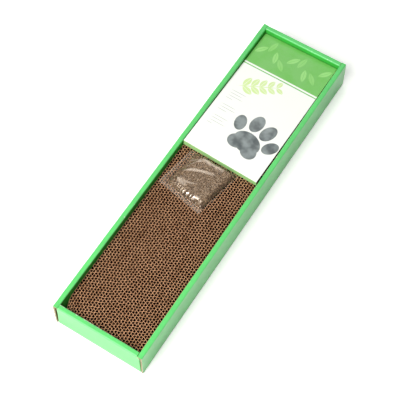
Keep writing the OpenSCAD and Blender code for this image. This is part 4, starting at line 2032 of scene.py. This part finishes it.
    def strew(
        self,
        patches: Patches,
        draw: np.random.Generator,
        count: int,
        long_mm: Pair,
        wide_mm: Pair,
        thick_mm: Pair,
        tones: Pair,
    ) -> None:
        """Strews small eight-faced bits through the top of the heap.

        Args:
            patches: Where the faces go.
            draw: Source of the random draws.
            count: Number of bits.
            long_mm: Range of half lengths in millimetres.
            wide_mm: Range of half widths in millimetres.
            thick_mm: Range of half thicknesses in millimetres.
            tones: Range of the mark shade.
        """
        u, v = draw.uniform(0.10, 0.965, (2, count * 2))
        filled = self.heap(u, v) > 0.5 * MM
        u, v = u[filled][:count], v[filled][:count]
        count = len(u)
        x, y = self.spot(u, v)
        sizes = joined(*(draw.uniform(*span, count) for span in (long_mm, wide_mm, thick_mm))) * MM
        depth = draw.uniform(0.1, 1.5, count) ** 1.4 * MM
        roof = np.minimum(self.under_film(u, v), self.heap(u, v) + 0.4 * MM)
        z = np.maximum(roof - 0.25 * MM - depth, 0.25 * MM)
        heading = draw.uniform(0, math.tau, count)
        tip = draw.normal(0, 0.32, (2, count))
        way = joined(np.cos(heading), np.sin(heading), tip[0] * np.minimum(1.0, 0.5 * MM / sizes[:, 0]))
        way /= np.linalg.norm(way, axis=1)[:, None]
        side = np.cross(joined(tip[1], 0.0, 1.0), way)
        side /= np.linalg.norm(side, axis=1)[:, None]
        up = np.cross(way, side)
        corners = np.array([[1, 0, 0], [0, 1, 0], [-1, 0, 0], [0, -1, 0], [0, 0, 1], [0, 0, -1]], float)
        shape = corners[None] * draw.uniform(0.6, 1.25, (count, 6, 1))
        shape = shape + draw.normal(0, 0.12, (count, 6, 3))
        middle = joined(x, y, self.base + z)
        points = middle[:, None, :]
        for axis, direction in enumerate((way, side, up)):
            points = points + shape[:, :, axis : axis + 1] * sizes[:, None, axis : axis + 1] * direction[:, None, :]
        ceiling = self.base + np.maximum(roof, 0.3 * MM)
        points[..., 2] = np.clip(points[..., 2], self.base + 0.13 * MM, ceiling[:, None])
        upper = [[0, 1, 4], [1, 2, 4], [2, 3, 4], [3, 0, 4]]
        lower = [[1, 0, 5], [2, 1, 5], [3, 2, 5], [0, 3, 5]]
        triangles = np.array(upper + lower)
        faces = (triangles[None] + 6 * np.arange(count)[:, None, None]).reshape(-1, 3)
        # Painted shade: crumbs near the right edge and the back edge, where the heap falls away steeply, are
        # darker.
        settled = np.maximum(0.6 * unit((u - 0.90) / 0.08), unit((v - 0.925) / 0.04))
        shade = np.repeat(draw.uniform(*tones, count) - 0.9 * settled, 6)
        patches.add(points.reshape(-1, 3), faces, 0, shade=shade)


@dataclass
class Studio:
    """White floor, soft lights and the camera.

    Azimuth and elevation are in degrees. The lens is in millimetres, on a sensor 36 mm wide. Aside and above shift
    the camera to its own right and up. Glow is how far the floor is overexposed where the camera sees it.
    """

    azimuth: float = 32.235
    elevation: float = 61.382
    distance: float = 1.4907
    aside: float = -0.00933
    above: float = -0.00451
    lens: float = 106.3
    glow: float = 0.35

    def build(self) -> None:
        """Makes the floor, the lights, the world and the camera."""
        self.floor()
        self.light("key_light", (-0.23, -1.08, 1.42), 1.1, 40.0, (1.0, 0.985, 0.96))
        self.light("front_light", (-0.10, -1.50, 0.35), 1.0, 6.0, (1.0, 1.0, 1.0))
        self.world()
        self.camera()
        bpy.context.scene.view_settings.view_transform = "Standard"

    def floor(self) -> None:
        """Makes the white floor under the tray."""
        made, wiring, shader = new_material("white_floor")
        shade = wiring.noise(wiring.place(), 2.0)
        white = wiring.blend(shade, (0.93, 0.93, 0.92), (0.96, 0.96, 0.95))
        seen = wiring.node("ShaderNodeLightPath").outputs["Is Camera Ray"]
        glow = wiring.blend(seen, (0.30, 0.30, 0.30), (1.0, 1.0, 0.98))
        wiring.supply(shader, {"Base Color": white, "Roughness": 0.9, "Specular IOR Level": 0.1})
        wiring.supply(shader, {"Emission Color": glow, "Emission Strength": self.glow})
        mesh = bpy.data.meshes.new("floor")
        corners = [(-4.0, -4.0, 0.0), (4.0, -4.0, 0.0), (4.0, 4.0, 0.0), (-4.0, 4.0, 0.0)]
        mesh.from_pydata(corners, [], [(0, 1, 2, 3)])
        mesh.materials.append(made)
        ground = placed("floor", mesh)
        ground.location.z = -0.1 * MM

    def light(self, name: str, place: tuple[float, float, float], size: float, watts: float, tint: Colour) -> None:
        """Makes one square soft light that looks at the tray.

        Args:
            name: Name of the light.
            place: Where it stands.
            size: Length of its sides.
            watts: Its power.
            tint: Its colour.
        """
        lamp = bpy.data.lights.new(name, "AREA")
        lamp.size = size
        lamp.energy = watts
        lamp.color = tint
        made = placed(name, lamp)
        made.location = place
        made.rotation_mode = "QUATERNION"
        made.rotation_quaternion = Vector(place).to_track_quat("Z", "Y")

    def world(self) -> None:
        """Makes the dim surroundings, with a pale patch high up behind the tray that its gloss mirrors."""
        world = bpy.data.worlds.new("studio")
        world.use_nodes = True
        bpy.context.scene.world = world
        wiring = Wiring(world.node_tree)
        way = wiring.node("ShaderNodeTexCoord").outputs["Generated"]
        toward = wiring.vector("DOT_PRODUCT", way, (-0.25, 0.42, 0.87)).outputs["Value"]
        share = wiring.step(toward, 0.80, 0.98)
        colour = wiring.blend(share, (0.10, 0.10, 0.10), (1.60, 1.60, 1.60))
        wiring.supply(world.node_tree.nodes["Background"], {"Color": colour, "Strength": 1.0})

    def camera(self) -> None:
        """Sets the camera at the photograph's viewing angle."""
        a, e = math.radians(self.azimuth), math.radians(self.elevation)
        back = Vector((math.sin(a) * math.cos(e), -math.cos(a) * math.cos(e), math.sin(e)))
        right = Vector((math.cos(a), math.sin(a), 0.0))
        up = back.cross(right)
        lens = bpy.data.cameras.new("camera")
        lens.sensor_width = 36.0
        lens.lens = self.lens
        made = placed("camera", lens)
        made.location = self.distance * back + self.aside * right + self.above * up
        made.rotation_mode = "QUATERNION"
        made.rotation_quaternion = (-back).to_track_quat("-Z", "Y")
        bpy.context.scene.camera = made


def main() -> None:
    logging.basicConfig(level=logging.INFO, format="%(message)s")
    Studio().build()
    board = [
        PrintedBoard().build(),
        Kraft("tray_kraft", (0.25, 0.16, 0.09), (0.40, 0.27, 0.16), (0.55, 0.42, 0.28)).build(),
        Kraft("tray_cut_edge", (0.54, 0.45, 0.29), (0.74, 0.66, 0.47), (0.86, 0.80, 0.64)).build(),
        # The inner walls' print: the same green with its ink painted darker as shade, and without the coat.
        PrintedBoard("green_inner_print_painted_shade", ink=(0.055, 0.50, 0.060), coat=0.0, gloss=0.15).build(),
    ]
    Tray(board).build()
    strip = [
        FluteWall().build(),
        Kraft("strip_cut_edge", (0.36, 0.165, 0.072), (0.66, 0.355, 0.190), (0.88, 0.62, 0.42)).build(),
        Kraft("strip_pale_liner", (0.50, 0.36, 0.22), (0.68, 0.53, 0.36), (0.80, 0.70, 0.55)).build(),
    ]
    ScratchingBlock(strip).build()
    card = [
        CardPrint().build(),
        PlainCard("card_flap", paint(160, 210, 134), 0.45).build(),
        PlainCard("card_white", (0.86, 0.87, 0.84), 0.6).build(),
    ]
    HeaderCard(card).build()
    pouch = HerbPouch(
        ClearFilm().build(),
        DriedHerb().build(),
        corners=((-51.9, -31.7), (14.9, -44.5), (-41.0, 28.1), (28.4, 26.2)),
    )
    pouch.build()


if __name__ == "__main__":
    main()
